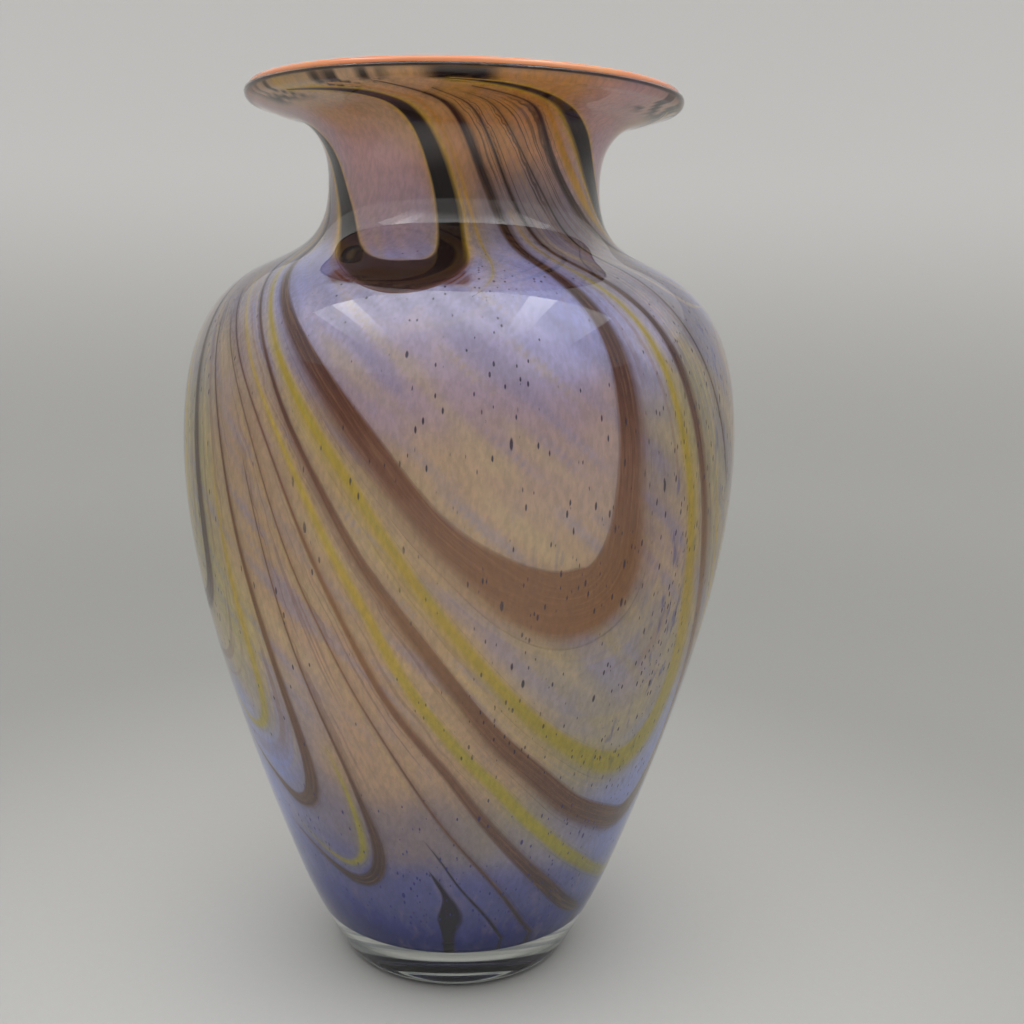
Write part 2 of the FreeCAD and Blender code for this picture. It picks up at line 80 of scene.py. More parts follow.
COLOUR_WALL = [           # outer face of the colour (radius, height)
    (47.8, 14.2), (54.3, 27.7), (62.0, 47.2), (70.0, 69.8), (79.1, 98.4), (87.2, 127.3),
    (93.4, 156.7), (96.7, 186.5), (95.5, 216.4), (91.2, 233.8), (85.4, 244.3), (74.5, 254.4),
    (61.1, 261.2), (52.2, 267.3), (47.2, 275.5), (45.3, 286.7), (46.6, 299.6), (50.4, 306.8),
    (56.4, 311.7), (65.0, 314.3), (70.4, 316.3),
]

# A trail is a stroke of coloured glass through points (angle, run, width).  Its level is its step
# in the flow of the pattern, its gain makes it darker than its kind, `soft` is how many mm its
# outer, left-hand side fades out by, and it fades out downwards between the runs of `lower_fade`.
Trail = namedtuple("Trail", "level stroke gain soft lower_fade", defaults=(1.0, 0.0, None))
TRAILS = {
    "front_neck_swag_aubergine": Trail(0, stroke=[
        (-54, 344, 1.6), (-43, 341.8, 2.6), (-34, 339, 4), (-28, 335.5, 5.5), (-22.5, 329, 6),
        (-17, 320, 6.2), (-12.3, 310, 7), (-8.3, 300, 7.8), (-5.3, 289, 9), (-4, 279, 9.8),
        (-3.8, 270, 12), (-7, 261.5, 16), (-13.5, 257.5, 18.5), (-21, 258.5, 16), (-29, 263.7, 11.5),
        (-37, 271.3, 9.5), (-45, 280, 8.5), (-53, 289, 8), (-61, 298.5, 7.5), (-69, 308.5, 7.5),
        (-77, 317, 7), (-87, 325.5, 6), (-99, 333, 5), (-113, 339, 3.5), (-128, 343.5, 2)]),
    "front_neck_halo_yellow": Trail(1, lower_fade=(246, 256), stroke=[
        (-37, 344, 1.2), (-27.5, 340.6, 1.6), (-18.8, 334.3, 2), (-12.2, 325, 2.2), (-7, 315, 2.2),
        (-2.3, 305, 2.2), (1.4, 295, 2.4), (4.4, 285, 2.4), (6.3, 275, 2.4), (7.4, 265, 2.2),
        (6.4, 255.5, 2), (1.8, 247.5, 1.6)]),
    "front_body_festoon_brown": Trail(2, soft=8, stroke=[
        (-24, 344, 1.4), (-17, 339.6, 2), (-10, 333.5, 3), (-4.5, 326, 3.5), (0.5, 317.5, 4),
        (5.5, 307.5, 4.2), (10.5, 297.5, 4.3), (14.5, 288, 4.5), (17.5, 278.5, 5), (20.3, 268, 5.2),
        (23.5, 257.5, 5.5), (26.8, 247, 6.2), (29.5, 236, 7.5), (31.2, 225, 9.5), (32.3, 212, 11.5),
        (32.8, 198, 13), (32.6, 185, 14.5), (32.4, 173.5, 17.5), (31.2, 163, 22), (27.8, 154.4, 26),
        (21.5, 150.5, 27.5), (14.5, 152.5, 24.5), (8, 158, 20.5), (1.5, 166, 16), (-5, 175.5, 13.5),
        (-12, 189.5, 12.5), (-19, 204, 12), (-26, 218, 9.5), (-33, 230.5, 7.5), (-40, 242, 5.5),
        (-47, 253, 4), (-55, 265.5, 3.2), (-63, 278.5, 3), (-72, 292, 3), (-82, 305, 3), (-94, 317.5, 3),
        (-107, 328, 3), (-121, 336.5, 2.5), (-137, 342.8, 1.5)]),
    "front_body_festoon_yellow": Trail(3, gain=0.88, soft=4, stroke=[
        (18.4, 291, 1.4), (21.8, 283, 2), (24.6, 275, 2.2), (27.8, 265.5, 2.4), (31.2, 256.5, 2.8),
        (35.2, 247, 3.2), (38.7, 237, 4), (41.6, 226, 4.8), (44, 214, 5.4), (46.2, 202, 6),
        (48.2, 190, 6.6), (50, 177, 7.4), (51.6, 164, 8.2), (53.4, 150.5, 9.2), (55.4, 136.5, 10.2),
        (56.8, 123, 11.4), (56.8, 109.5, 12.8), (54.2, 97.5, 13.8), (49.5, 90, 13.8), (43, 87, 12.8),
        (36, 89.2, 11.3), (29, 94.9, 9.6), (23, 101.3, 8.8), (17, 109, 8.3), (11, 118.5, 7.8),
        (5, 129.8, 7.3), (-1, 142.2, 7.1), (-7, 156, 6.9), (-13, 171, 6.8), (-19, 186.7, 6.6),
        (-26, 202.3, 6), (-33, 217.2, 5.2), (-40, 232.6, 4.2), (-47, 246, 3.2), (-55, 259, 2.6),
        (-63, 271.6, 2.4), (-72, 284.8, 2.2), (-82, 297.8, 2.2), (-94, 310.8, 2.2), (-107, 322.2, 2.2),
        (-122, 332, 2), (-138, 339.2, 1.4)]),
    "front_outer_festoon_brown": Trail(4, gain=0.85, soft=3.5, stroke=[
        (-9, 338.5, 1.4), (-3.5, 332.8, 1.6), (2, 326.5, 1.8), (7, 319, 2), (12, 310.5, 2.2),
        (16.5, 302, 2.4), (20.8, 294, 2.6), (24.8, 286, 2.8), (28, 277.5, 3), (30.8, 269.5, 3.2),
        (34.2, 260.5, 3.4), (38.2, 251, 3.8), (42.3, 241, 4.2), (45.5, 230.5, 5), (48.2, 218.5, 5.6),
        (50.8, 205, 5.8), (53, 191, 6), (55.1, 178, 6.4), (57.4, 164, 6.8), (60.3, 149, 7),
        (63.3, 133, 7), (65.9, 116, 7.5), (67.6, 99, 8), (68, 84, 9), (65.6, 70, 11), (60, 60.5, 12.5),
        (52.5, 58, 12.5), (45, 61.2, 12.5), (37.5, 66.3, 12), (30, 72.8, 11.3), (23, 81.6, 10.7),
        (16, 91.8, 10), (9, 102.6, 9.2), (2, 116.6, 8), (-5, 132.8, 7.4), (-12, 149.3, 6.8),
        (-19, 166.8, 6), (-26, 187.6, 4.8), (-33, 206.8, 3.8), (-40, 225.2, 3), (-47, 239.5, 2.4),
        (-55, 252.8, 2.2), (-63, 265, 2), (-72, 277.6, 2), (-82, 290.6, 2), (-94, 303.8, 2),
        (-107, 316, 2), (-122, 327, 2), (-139, 335.4, 1.4)]),
    "front_outer_festoon_yellow": Trail(5, stroke=[
        (58.8, 188, 1.8), (61.6, 176, 2.4), (65, 161, 3), (68.6, 145, 3.6), (71.8, 128, 4.4),
        (74.6, 110, 5), (77, 92, 5.6), (78.6, 74, 6), (79, 57, 6), (76.8, 41, 6.2), (71.5, 31, 6.4),
        (64, 28, 6.4), (56, 32, 6.4), (48, 37.6, 6.4), (40, 44.6, 6.6), (32, 52.5, 6.4), (24, 62.5, 6.2),
        (17, 72.2, 6), (10, 84, 5.8), (3, 95.5, 5.6), (-4, 109.5, 5.5), (-11, 127, 5.3), (-17, 147, 5),
        (-23, 166, 4.6), (-29, 185.5, 3.8), (-35, 203, 3), (-42, 219.6, 2.4), (-49, 234, 2),
        (-57, 247.2, 1.8), (-65, 258.8, 1.6)]),
    "front_lower_sweep_brown": Trail(6, stroke=[
        (-62, 248, 1.4), (-54, 236, 1.6), (-47, 223, 1.8), (-40.5, 208.5, 2), (-35, 192.5, 2.2),
        (-30.5, 176, 2.6), (-26, 159, 3), (-21, 140.5, 3.4), (-15.5, 121.5, 3.8), (-9.5, 106.5, 4.2),
        (-3, 93, 4.6), (4, 77.5, 5), (11, 64.2, 5.6), (18, 53, 6), (25, 43, 6.6), (32, 34.2, 7),
        (39, 26.2, 7), (46.5, 19.8, 6.5), (54, 15, 4.5)]),
    "front_fine_sweep_brown": Trail(7, gain=0.85, stroke=[
        (-58, 238.5, 1.2), (-51, 225.5, 1.3), (-45, 211.5, 1.4), (-40, 195.5, 1.5), (-36, 178, 1.6),
        (-32, 160, 1.7), (-27, 140, 1.8), (-22, 121.5, 1.9), (-16, 102.5, 2), (-9, 82.5, 2.2),
        (-2, 66, 2.4), (5, 53, 2.6), (12, 41, 2.8), (19, 28.8, 3), (25, 19, 3), (29.5, 13, 2.6)]),
    "front_base_thread_aubergine": Trail(7.6, stroke=[
        (-9, 63, 1.4), (-4.5, 54, 1.6), (0, 43.5, 1.8), (5, 34.5, 2), (10, 26.5, 2.2), (14.5, 18.5, 2.4),
        (17.5, 13, 2.2)]),
    "front_base_knot_aubergine": Trail(8.2, stroke=[
        (-8.2, 49.5, 2), (-6.2, 45.2, 3.2), (-4.2, 40.5, 3), (-2.6, 35.5, 4.5), (-1.8, 30, 8),
        (-1.8, 25, 9.5), (-2.2, 20, 7), (-2.4, 15.5, 5.5), (-2.4, 12, 5.5)]),
    "left_hook_brown": Trail(8, gain=0.72, stroke=[
        (-44, 196, 1.2), (-41.5, 181, 1.4), (-39.2, 164, 1.6), (-37, 147, 1.8), (-34.4, 129, 2),
        (-31.4, 112, 2.2), (-28.4, 97, 2.6), (-25.9, 84, 3.2), (-23.8, 72, 4.2), (-22.3, 61, 5.4),
        (-22.4, 51, 6.4), (-25, 43, 6.8), (-30, 39, 6.4), (-36, 39.8, 5), (-42, 43.6, 3.6),
        (-48.5, 49, 2.4), (-56, 55.5, 1.6)]),
    "left_hook_yellow": Trail(8.7, stroke=[
        (-31.5, 96, 1.6), (-29.4, 86, 2.4), (-27.8, 76, 3.2), (-26.9, 66, 3.8), (-26.9, 57, 4.2),
        (-28.8, 50, 4.4), (-33, 46.6, 4), (-38.5, 47.6, 3.2), (-44, 51.2, 2.2), (-50, 55.8, 1.4)]),
    "left_drop_brown": Trail(9, gain=0.72, stroke=[
        (-63, 240, 1.2), (-58, 227, 1.6), (-54, 213, 2), (-51, 199, 2.4), (-48.8, 185, 2.8),
        (-46.9, 170, 3.2), (-45, 155, 3.6), (-43.2, 140, 4), (-41.5, 125, 4.4), (-40, 110, 5),
        (-38.8, 95, 6), (-39, 81.5, 7.2), (-41.8, 71.8, 7.8), (-47, 68.8, 6.6), (-53, 72, 4.6),
        (-59.5, 78, 3), (-67, 86, 2)]),
    "left_drop_yellow": Trail(9.7, stroke=[
        (-54, 188, 1.6), (-52.6, 172, 2.6), (-51.4, 156, 3.8), (-50.3, 140, 4.8), (-49.4, 124, 5.4),
        (-49.6, 110, 5.8), (-52.6, 99, 5.6), (-58.5, 95, 4.4), (-65.5, 98, 3), (-73, 105, 1.8)]),
    "left_festoon_brown": Trail(11, gain=0.3, stroke=[
        (-93, 287, 1.4), (-86, 275.5, 1.8), (-79, 263.5, 2.2), (-73, 250.5, 2.6), (-68, 237, 3.4),
        (-64.6, 222, 4.4), (-62.6, 206, 5.2), (-61.4, 190, 5.8), (-60.8, 174, 6.2), (-61.2, 158, 6.8),
        (-63.6, 145.5, 7.6), (-69.5, 138, 8.4), (-77.5, 137.5, 8.8), (-86, 142.5, 8.6), (-93.5, 151, 8),
        (-100.5, 161, 7.2), (-107.5, 173, 6.6), (-115, 187, 6), (-123, 202, 5.2), (-131, 216.5, 4.4),
        (-139.5, 230, 3.8), (-149, 242.5, 3.2), (-159, 254, 2.8), (-169, 265.5, 2.6), (-180, 278, 2.4),
        (-191, 290.5, 2.2), (-203, 303.5, 2.2), (-214, 315.5, 2), (-224, 325.4, 1.6),
        (-231, 331.6, 1.2)]),
    "left_festoon_yellow": Trail(12, soft=4, stroke=[
        (-81, 245, 2), (-76, 232, 3.4), (-73, 218, 5), (-71.4, 203, 6.4), (-70.8, 188, 7.4),
        (-72, 174, 8.2), (-76.5, 164.5, 8.4), (-83.5, 162, 7.6), (-91, 166.5, 6.4), (-98.5, 176, 5.2),
        (-106, 188.5, 4.2), (-113.5, 202, 3.4), (-121.5, 216.5, 2.8), (-130, 230.5, 2.2),
        (-139.5, 243.5, 1.8)]),
    "left_neck_swag_aubergine": Trail(13, stroke=[
        (-176, 344, 1.6), (-166, 341, 2.6), (-158, 337, 4), (-151, 331.2, 5.2), (-145, 323.5, 6),
        (-139.5, 314, 6.6), (-134.5, 303.5, 7.4), (-130.8, 292.5, 8.6), (-129, 281, 9.6),
        (-129.4, 271, 12), (-133, 263, 15), (-140, 259.5, 16.5), (-148, 261.5, 14), (-156, 267.5, 11),
        (-164, 275.5, 9.4), (-172, 284.5, 8.4), (-181, 294.5, 7.8), (-191, 305, 7.2), (-202, 315.8, 6.4),
        (-213, 325.4, 5.4), (-223, 333.2, 4), (-232.5, 339.4, 2.8), (-242, 343.6, 1.6)]),
    "right_neck_swag_aubergine": Trail(9, stroke=[
        (78, 344, 1.6), (88, 341, 2.6), (96, 337, 4), (103, 331.2, 5.2), (109, 323.5, 6),
        (114.5, 314, 6.6), (119.3, 303.5, 7.4), (122.8, 292.5, 8.6), (124.6, 281, 9.6), (124.2, 271, 12),
        (120.6, 263, 15), (113.6, 259.5, 16.5), (105.6, 261.5, 14.5), (97.6, 267.5, 12),
        (89.6, 276, 10.6), (81.6, 286, 10), (73, 296.5, 9.6), (64, 306, 9.2), (55, 314.5, 8.2),
        (45.5, 321.3, 6.8), (36, 327.8, 5.4), (27, 334, 4.4), (17.5, 339, 3.6), (7, 342.2, 2.8),
        (-4, 344, 1.6)]),
    "right_neck_halo_yellow": Trail(8, stroke=[
        (81, 275.5, 1.8), (74.5, 282.5, 3), (68, 289, 4.2), (61.5, 294.6, 5.2), (55.5, 300, 5.4),
        (49, 306, 5.2), (42.5, 312.4, 4.4), (35.5, 319.6, 3.8), (28.5, 326.8, 2.8), (21, 332.8, 1.9),
        (14, 336.9, 1.2)]),
    "right_body_festoon_brown": Trail(7, soft=7, stroke=[
        (112, 343.4, 1.4), (120, 338, 2), (127, 330.5, 2.8), (133, 321.5, 3.4), (138.5, 311.5, 3.8),
        (143.5, 301, 4), (148, 290.5, 4.2), (152, 279.5, 4.6), (155.6, 268, 5), (159, 256.5, 5.4),
        (162, 244, 6.2), (164, 230, 7.6), (165.2, 215, 9.2), (165.6, 199, 10.8), (165, 184, 13),
        (162.6, 171.5, 16.5), (158, 161.5, 20.5), (151, 157, 21.5), (143.5, 159.5, 18.5),
        (136.5, 167, 15.5), (129.5, 178, 13.2), (122.5, 191, 12), (115.5, 205, 10.8), (108.5, 219, 9),
        (101.5, 232.5, 7.4), (94.5, 244, 6), (87, 254.5, 5), (79, 264.5, 4.4), (71, 274, 4.4),
        (63, 283, 4.6), (55, 291, 4.8), (47, 298.5, 4.6), (39.5, 306.5, 4.2), (32.5, 315.5, 3.8),
        (25.5, 325, 3), (18, 332, 2.2), (10, 336.4, 1.8), (1.5, 339.8, 1.4)]),
    "right_fine_thread_brown": Trail(5.6, gain=0.55, stroke=[
        (-3, 337, 1.1), (3.5, 333, 1.3), (10, 326.5, 1.4), (16.5, 319, 1.5), (23, 311.3, 1.6),
        (29.5, 303.2, 1.7), (35, 296, 1.8), (39.8, 287.5, 2), (43.8, 277.5, 2.2), (46.6, 267, 2.2),
        (49, 256, 2), (51.6, 245, 2), (54.4, 233.5, 2), (57.4, 222, 2), (60.6, 209.5, 2.2),
        (63.8, 196, 2.4), (67, 181, 2.6)]),
    "right_lower_festoon_yellow": Trail(6, soft=4, stroke=[
        (176, 226, 2), (178, 210, 3.4), (178.5, 194, 5), (177.6, 177, 6.8), (175, 160, 8.4),
        (170.4, 145.5, 10), (163.5, 136, 11), (155.5, 133.5, 10.4), (147.5, 136.8, 9), (139.5, 145, 7.6),
        (131.5, 157, 6.4), (123.5, 171.3, 5.4), (115.5, 187, 4.6), (107.5, 203.5, 4.2),
        (99.5, 217.5, 3.4), (91.5, 230, 2.6), (83, 241.5, 1.8)]),
    "back_lower_festoon_brown": Trail(5, soft=5, stroke=[
        (195, 252, 1.4), (196.8, 236, 2), (197.6, 219, 2.8), (197.4, 201, 3.8), (196, 182, 4.8),
        (193.4, 162, 6), (189.6, 142, 7.4), (184.4, 124, 9), (177, 110.5, 10.6), (168, 103.5, 11.6),
        (158.5, 104, 11.4), (149.5, 110.5, 10), (141, 120.5, 8.6), (132.5, 133, 7.2), (124, 148, 6),
        (115.5, 164, 5), (107.5, 180, 4.2), (99.5, 195.5, 3.4), (91.5, 209.5, 2.8), (83, 222.5, 2.2),
        (74.5, 234.5, 1.6)]),
    "back_lower_sweep_yellow": Trail(4, stroke=[
        (90, 194, 1.6), (96, 176, 2.4), (102, 157, 3.2), (108.5, 138, 4), (116, 119.5, 4.8),
        (124.5, 102, 5.4), (134, 86.5, 6), (144.5, 73.5, 6.4), (156, 63, 6.6), (168, 54.5, 6.4),
        (180, 47, 6), (192, 40, 5.2), (204, 34, 4), (215, 29.5, 2.4)]),
    "back_lower_sweep_brown": Trail(3, stroke=[
        (86, 176, 1.4), (91.5, 158, 2), (97.5, 138.5, 2.6), (104.5, 119, 3.2), (112.5, 100, 3.8),
        (121.5, 83, 4.6), (131.5, 68.5, 5.4), (142.5, 56.5, 6), (154.5, 46, 6.4), (166.5, 37, 6.6),
        (178.5, 29.5, 6.4), (190, 23, 5.6), (201, 17, 4)]),
    "back_left_drop_brown": Trail(6, stroke=[
        (213, 214, 1.4), (216.5, 196, 2), (219.5, 177, 2.8), (222.5, 157, 3.6), (225.5, 136, 4.6),
        (228.4, 116, 5.6), (230.4, 97, 6.8), (229.4, 81, 8), (224.6, 71.5, 8), (217.8, 71.5, 6.4),
        (211, 77.5, 4.6), (204.5, 86, 3), (198, 95.5, 1.8)]),
    "back_left_hook_brown": Trail(7, stroke=[
        (240, 160, 1.4), (244, 140, 1.8), (248, 120, 2.4), (252, 100, 3.2), (255.6, 81, 4.4),
        (257.8, 64, 5.8), (256.8, 50.5, 6.8), (252, 43, 6.8), (245.6, 43.6, 5.4), (239, 49, 3.8),
        (232.5, 56, 2.4)]),
}


# ---- Curves and the wall ----

class Curve:
    """Smooth curve through points; `at` takes lengths along the chords between them."""

    def __init__(self, points):
        self.points = np.asarray(points, float)
        steps = np.diff(self.points, axis=0)
        self.gaps = gaps = np.linalg.norm(steps, axis=1)
        self.knots = np.concatenate(([0.0], np.cumsum(gaps)))
        self.end = self.knots[-1]
        matrix = np.eye(len(self.points))
        turns = np.zeros_like(self.points)
        slopes = steps / gaps[:, None]
        for i in range(1, len(gaps)):
            matrix[i, i - 1:i + 2] = gaps[i - 1], 2 * (gaps[i - 1] + gaps[i]), gaps[i]
            turns[i] = 6 * (slopes[i] - slopes[i - 1])
        self.bends = np.linalg.solve(matrix, turns)

    def at(self, lengths):
        """Points and directions at these lengths."""
        span = np.searchsorted(self.knots, lengths, side="right") - 1
        span = np.clip(span, 0, len(self.gaps) - 1)
        gap = self.gaps[span][:, None]
        after = (lengths - self.knots[span])[:, None]
        before = gap - after
        bend_a, bend_b = self.bends[span], self.bends[span + 1]
        point_a, point_b = self.points[span], self.points[span + 1]
        value = ((bend_a * before ** 3 + bend_b * after ** 3) / (6 * gap)
                 + (point_a / gap - bend_a * gap / 6) * before
                 + (point_b / gap - bend_b * gap / 6) * after)
        slope = ((bend_b * after ** 2 - bend_a * before ** 2) / (2 * gap)
                 + (point_b - point_a) / gap - (bend_b - bend_a) * gap / 6)
        return value, slope / np.linalg.norm(slope, axis=1)[:, None]


wall_curve = Curve(COLOUR_WALL)
RUN_END = wall_curve.end


def wall(run, depth):
    """(radius, height) at runs and depths on the wall."""
    value, along = wall_curve.at(np.ravel(run))
    inward = np.stack((-along[:, 1], along[:, 0]), axis=1)
    return value + inward * np.reshape(depth, (-1, 1))


def wall_radius(run):
    """Radius of the colour's outer face at runs."""
    return wall(run, 0)[:, 0]


def round_axis(turn, radius, height):
    """3-D points, in metres, at angles (in radians), radii and heights."""
    points = np.stack((radius * np.sin(turn), -radius * np.cos(turn), height), axis=-1)
    return points.reshape(-1, 3) * MM


def place(angle, run, depth):
    """3-D points, in metres, at angles, runs and depths."""
    radius, height = wall(run, depth).T
    return round_axis(np.radians(angle), radius, height)


def smooth_step(low, high, value):
    """0 at low and 1 at high, with an even rise between; low may be the greater one."""
    share = np.clip((value - low) / (high - low), 0, 1)
    return share * share * (3 - 2 * share)


def arc(centre, radius, start, end, steps):
    """Points (radius, height) on an arc between two angles in degrees."""
    turns = np.radians(np.linspace(start, end, steps))
    return np.stack((centre[0] + radius * np.cos(turns), centre[1] + radius * np.sin(turns)), 1)


def corner_points(depth):
    """Floor edge and rounded corner of a closed layer at a depth, as (radius, height)."""
    centre = wall(RUN_START, CORNER_RADIUS)[0]
    top = wall(RUN_START, depth)[0]
    lean = math.degrees(math.atan2(top[1] - centre[1], top[0] - centre[0]))
    return arc(centre, CORNER_RADIUS - depth, -90, lean, 6)[:-1]


def layer_points(depth):
    """Closed-bottomed layer surface at a depth, from the axis up to the lip."""
    corner = corner_points(depth)
    floor = np.linspace((0.5, corner[0][1]), corner[0], 4, endpoint=False)
    return np.concatenate((floor, corner, wall(np.linspace(RUN_START, RUN_END, 90), depth)))


# ---- Meshes ----

def add_object(name, data):
    """New object of the scene, made of a mesh, a lamp or a camera."""
    item = bpy.data.objects.new(name, data)
    bpy.context.scene.collection.objects.link(item)
    return item


def mesh_object(name, points, faces, material):
    """Smooth-shaded mesh of one material."""
    mesh = bpy.data.meshes.new(name)
    mesh.from_pydata(np.asarray(points).tolist(), [], faces)
    mesh.polygons.foreach_set("use_smooth", [True] * len(faces))
    mesh.materials.append(material)
    return add_object(name, mesh)


def ring_faces(rings, sides, ends):
    """Faces between closed rings of points, numbered ring by ring.

    The first and the last ring are left "open", "joined" to each other, or "capped".
    """
    ring_count = rings if ends == "joined" else rings - 1
    ring, side = np.meshgrid(np.arange(ring_count), np.arange(sides), indexing="ij")
    low, high = ring * sides, (ring + 1) % rings * sides
    beside = (side + 1) % sides
    quads = np.stack((low + side, low + beside, high + beside, high + side), axis=-1)
    faces = quads.reshape(-1, 4).tolist()
    if ends == "capped":
        faces += [list(range(sides))[::-1], list(range((rings - 1) * sides, rings * sides))]
    return faces


def turned(profile, sides, ends, wobble=None):
    """Points and faces of a profile of (radius, height) turned round the axis."""
    turn = np.radians(np.arange(sides) * 360.0 / sides)
    radius, height = (np.repeat(part[:, None], sides, axis=1) for part in profile.T)
    if wobble:
        radius = radius + wobble(turn, height)
    return round_axis(turn, radius, height), ring_faces(len(profile), sides, ends)


def set_attribute(piece, name, values):
    """Stores one number, or one colour with its share, for each point of a piece."""
    values = np.asarray(values, np.float32)
    kind, field = ("FLOAT", "value") if values.ndim == 1 else ("FLOAT_COLOR", "color")
    piece.data.attributes.new(name, kind, "POINT").data.foreach_set(field, values.ravel())


# ---- Colours of the glass ----

def glass_colour(red, green, blue):
    """Linear colour from 0-255 display values."""
    display = np.array((red, green, blue)) / 255.0
    return np.where(display <= 0.04045, display / 12.92, ((display + 0.055) / 1.055) ** 2.4)


GLASS_GAIN = np.array((2.62, 2.66, 2.68))    # how much paler glass is than it looks when cased
GLASS_LIMIT = 0.97
# Painted light and shade on the glass colour, as (run, gain): the shoulder catches more light than the
# foot and the underside of the lip; the gains paint the colour darker at the foot and on the shoulder,
# and paler on the body and most of all under the lip.
PAINTED_LIGHT_GAINS = [(0, 0.50), (20, 0.70), (50, 1.04), (90, 1.17), (130, 1.19), (165, 0.99), (205, 0.90),
               (235, 0.72), (262, 0.62), (285, 0.84), (305, 1.12), (322, 1.8), (345, 1.6)]
TINTS = {
    "cream": (172, 146, 118), "amber": (166, 122, 62), "ochre": (150, 106, 58),
    "rose": (150, 120, 120), "mauve": (140, 122, 132), "dusk": (106, 96, 104),
    "peach": (146, 124, 100), "tan": (140, 118, 98), "pinkish": (140, 120, 116),
    "lavender": (150, 146, 176), "blue_lavender": (128, 130, 178), "grey_lavender": (118, 112, 124),
    "olive": (136, 128, 88), "pale_blue": (108, 116, 158), "violet": (80, 82, 126),
    "blue_violet": (48, 54, 122), "deep_blue": (26, 34, 102), "stone": (122, 114, 106),
    "blue_streak": (112, 108, 136), "warm_streak": (150, 134, 106),
}

# Where each tint lies: (tint, angle, run, reach across in mm, reach along in mm).
SPOTS = [
    ("cream", -48, 340, 16, 7), ("amber", -48, 327, 9, 6), ("peach", -26, 331, 14, 8),
    ("rose", -36, 305, 12, 12), ("mauve", -20, 292, 12, 12), ("amber", -6, 334, 12, 8),
    ("ochre", 14, 330, 14, 10), ("ochre", 30, 322, 12, 9), ("rose", 52, 332, 14, 10),
    ("mauve", 60, 312, 12, 10), ("ochre", 6, 308, 8, 10), ("dusk", 22, 298, 9, 9),
    ("dusk", 40, 290, 12, 10), ("grey_lavender", 8, 282, 10, 8), ("lavender", 8, 264, 12, 8),
    ("blue_lavender", -42, 256, 12, 8), ("lavender", -18, 240, 18, 10),
    ("blue_lavender", 22, 250, 10, 9), ("lavender", 6, 236, 16, 9), ("grey_lavender", 44, 262, 10, 9),
    ("mauve", -12, 221, 18, 10), ("mauve", 8, 214, 18, 10), ("pinkish", 18, 192, 16, 12),
    ("peach", 2, 186, 18, 10), ("peach", 14, 172, 16, 8), ("tan", -30, 196, 10, 14),
    ("lavender", 40, 232, 7, 12), ("stone", 42, 200, 8, 14), ("pinkish", 46, 170, 9, 16),
    ("stone", 40, 138, 14, 12), ("stone", 62, 190, 10, 22), ("grey_lavender", -62, 235, 12, 12),
    ("tan", -50, 212, 10, 12), ("peach", -44, 178, 10, 18), ("olive", -66, 190, 8, 22),
    ("peach", -36, 148, 12, 16), ("olive", -53, 138, 6, 18), ("tan", -14, 132, 12, 14),
    ("peach", 6, 116, 12, 12), ("stone", 24, 122, 14, 10), ("grey_lavender", -46, 116, 12, 12),
    ("tan", -20, 100, 12, 12), ("tan", 6, 92, 10, 10), ("stone", 34, 82, 14, 9),
    ("pale_blue", -62, 72, 14, 16), ("dusk", -38, 66, 12, 12), ("dusk", -12, 66, 14, 10),
    ("stone", 10, 66, 10, 8), ("grey_lavender", 26, 58, 12, 8), ("pale_blue", 50, 68, 12, 12),
    ("violet", -46, 38, 14, 8), ("violet", -18, 34, 14, 8), ("violet", 8, 36, 12, 8),
    ("violet", 34, 34, 14, 8), ("pale_blue", 60, 36, 12, 10), ("blue_violet", -40, 20, 20, 5),
    ("blue_violet", 0, 20, 20, 5), ("blue_violet", 40, 20, 20, 5), ("deep_blue", -20, 10, 30, 4),
    ("deep_blue", 20, 10, 30, 4), ("blue_violet", 60, 10, 20, 4),
]
LOBES = (0.0, 124.0, -127.0)     # the pattern's three lobes stand this far round from the front

# Where dark grains crowd: (angle, run, reach across in mm, reach along in mm, share of cells).
GRAIN_SPOTS = [
    (48, 160, 9, 55, 1.0), (40, 92, 14, 12, 1.0), (52, 75, 8, 10, 0.9), (34, 60, 9, 12, 0.8),
    (36, 165, 14, 40, 0.5), (5, 200, 40, 45, 0.2), (22, 165, 26, 22, 0.5), (62, 215, 8, 50, 0.8),
    (-14, 36, 30, 22, 0.7), (24, 36, 24, 18, 0.7), (2, 250, 24, 14, 0.4), (-46, 50, 8, 14, 0.8),
    (12, 122, 20, 20, 0.4),
]
GRAIN_FLOOR = 0.06        # share of cells with a grain away from those spots

# Core colour of each kind of trail at a few runs, from the foot up to the lip.
CORES = {
    "brown": [(10, (42, 34, 42)), (60, (78, 58, 52)), (100, (90, 63, 50)), (140, (106, 75, 49)),
              (168, (102, 69, 43)), (200, (86, 52, 37)), (232, (60, 32, 32)), (262, (40, 20, 21)),
              (300, (30, 15, 14)), (345, (38, 18, 15))],
    "yellow": [(10, (98, 94, 58)), (60, (130, 120, 50)), (100, (130, 117, 50)),
               (150, (146, 123, 46)), (210, (156, 132, 42)), (260, (148, 132, 60)),
               (300, (162, 120, 36)), (345, (168, 108, 36))],
    "aubergine": [(10, (22, 20, 34)), (60, (28, 22, 40)), (250, (44, 24, 20)), (262, (24, 14, 15)),
                  (300, (12, 8, 9)), (345, (26, 14, 15))],
}
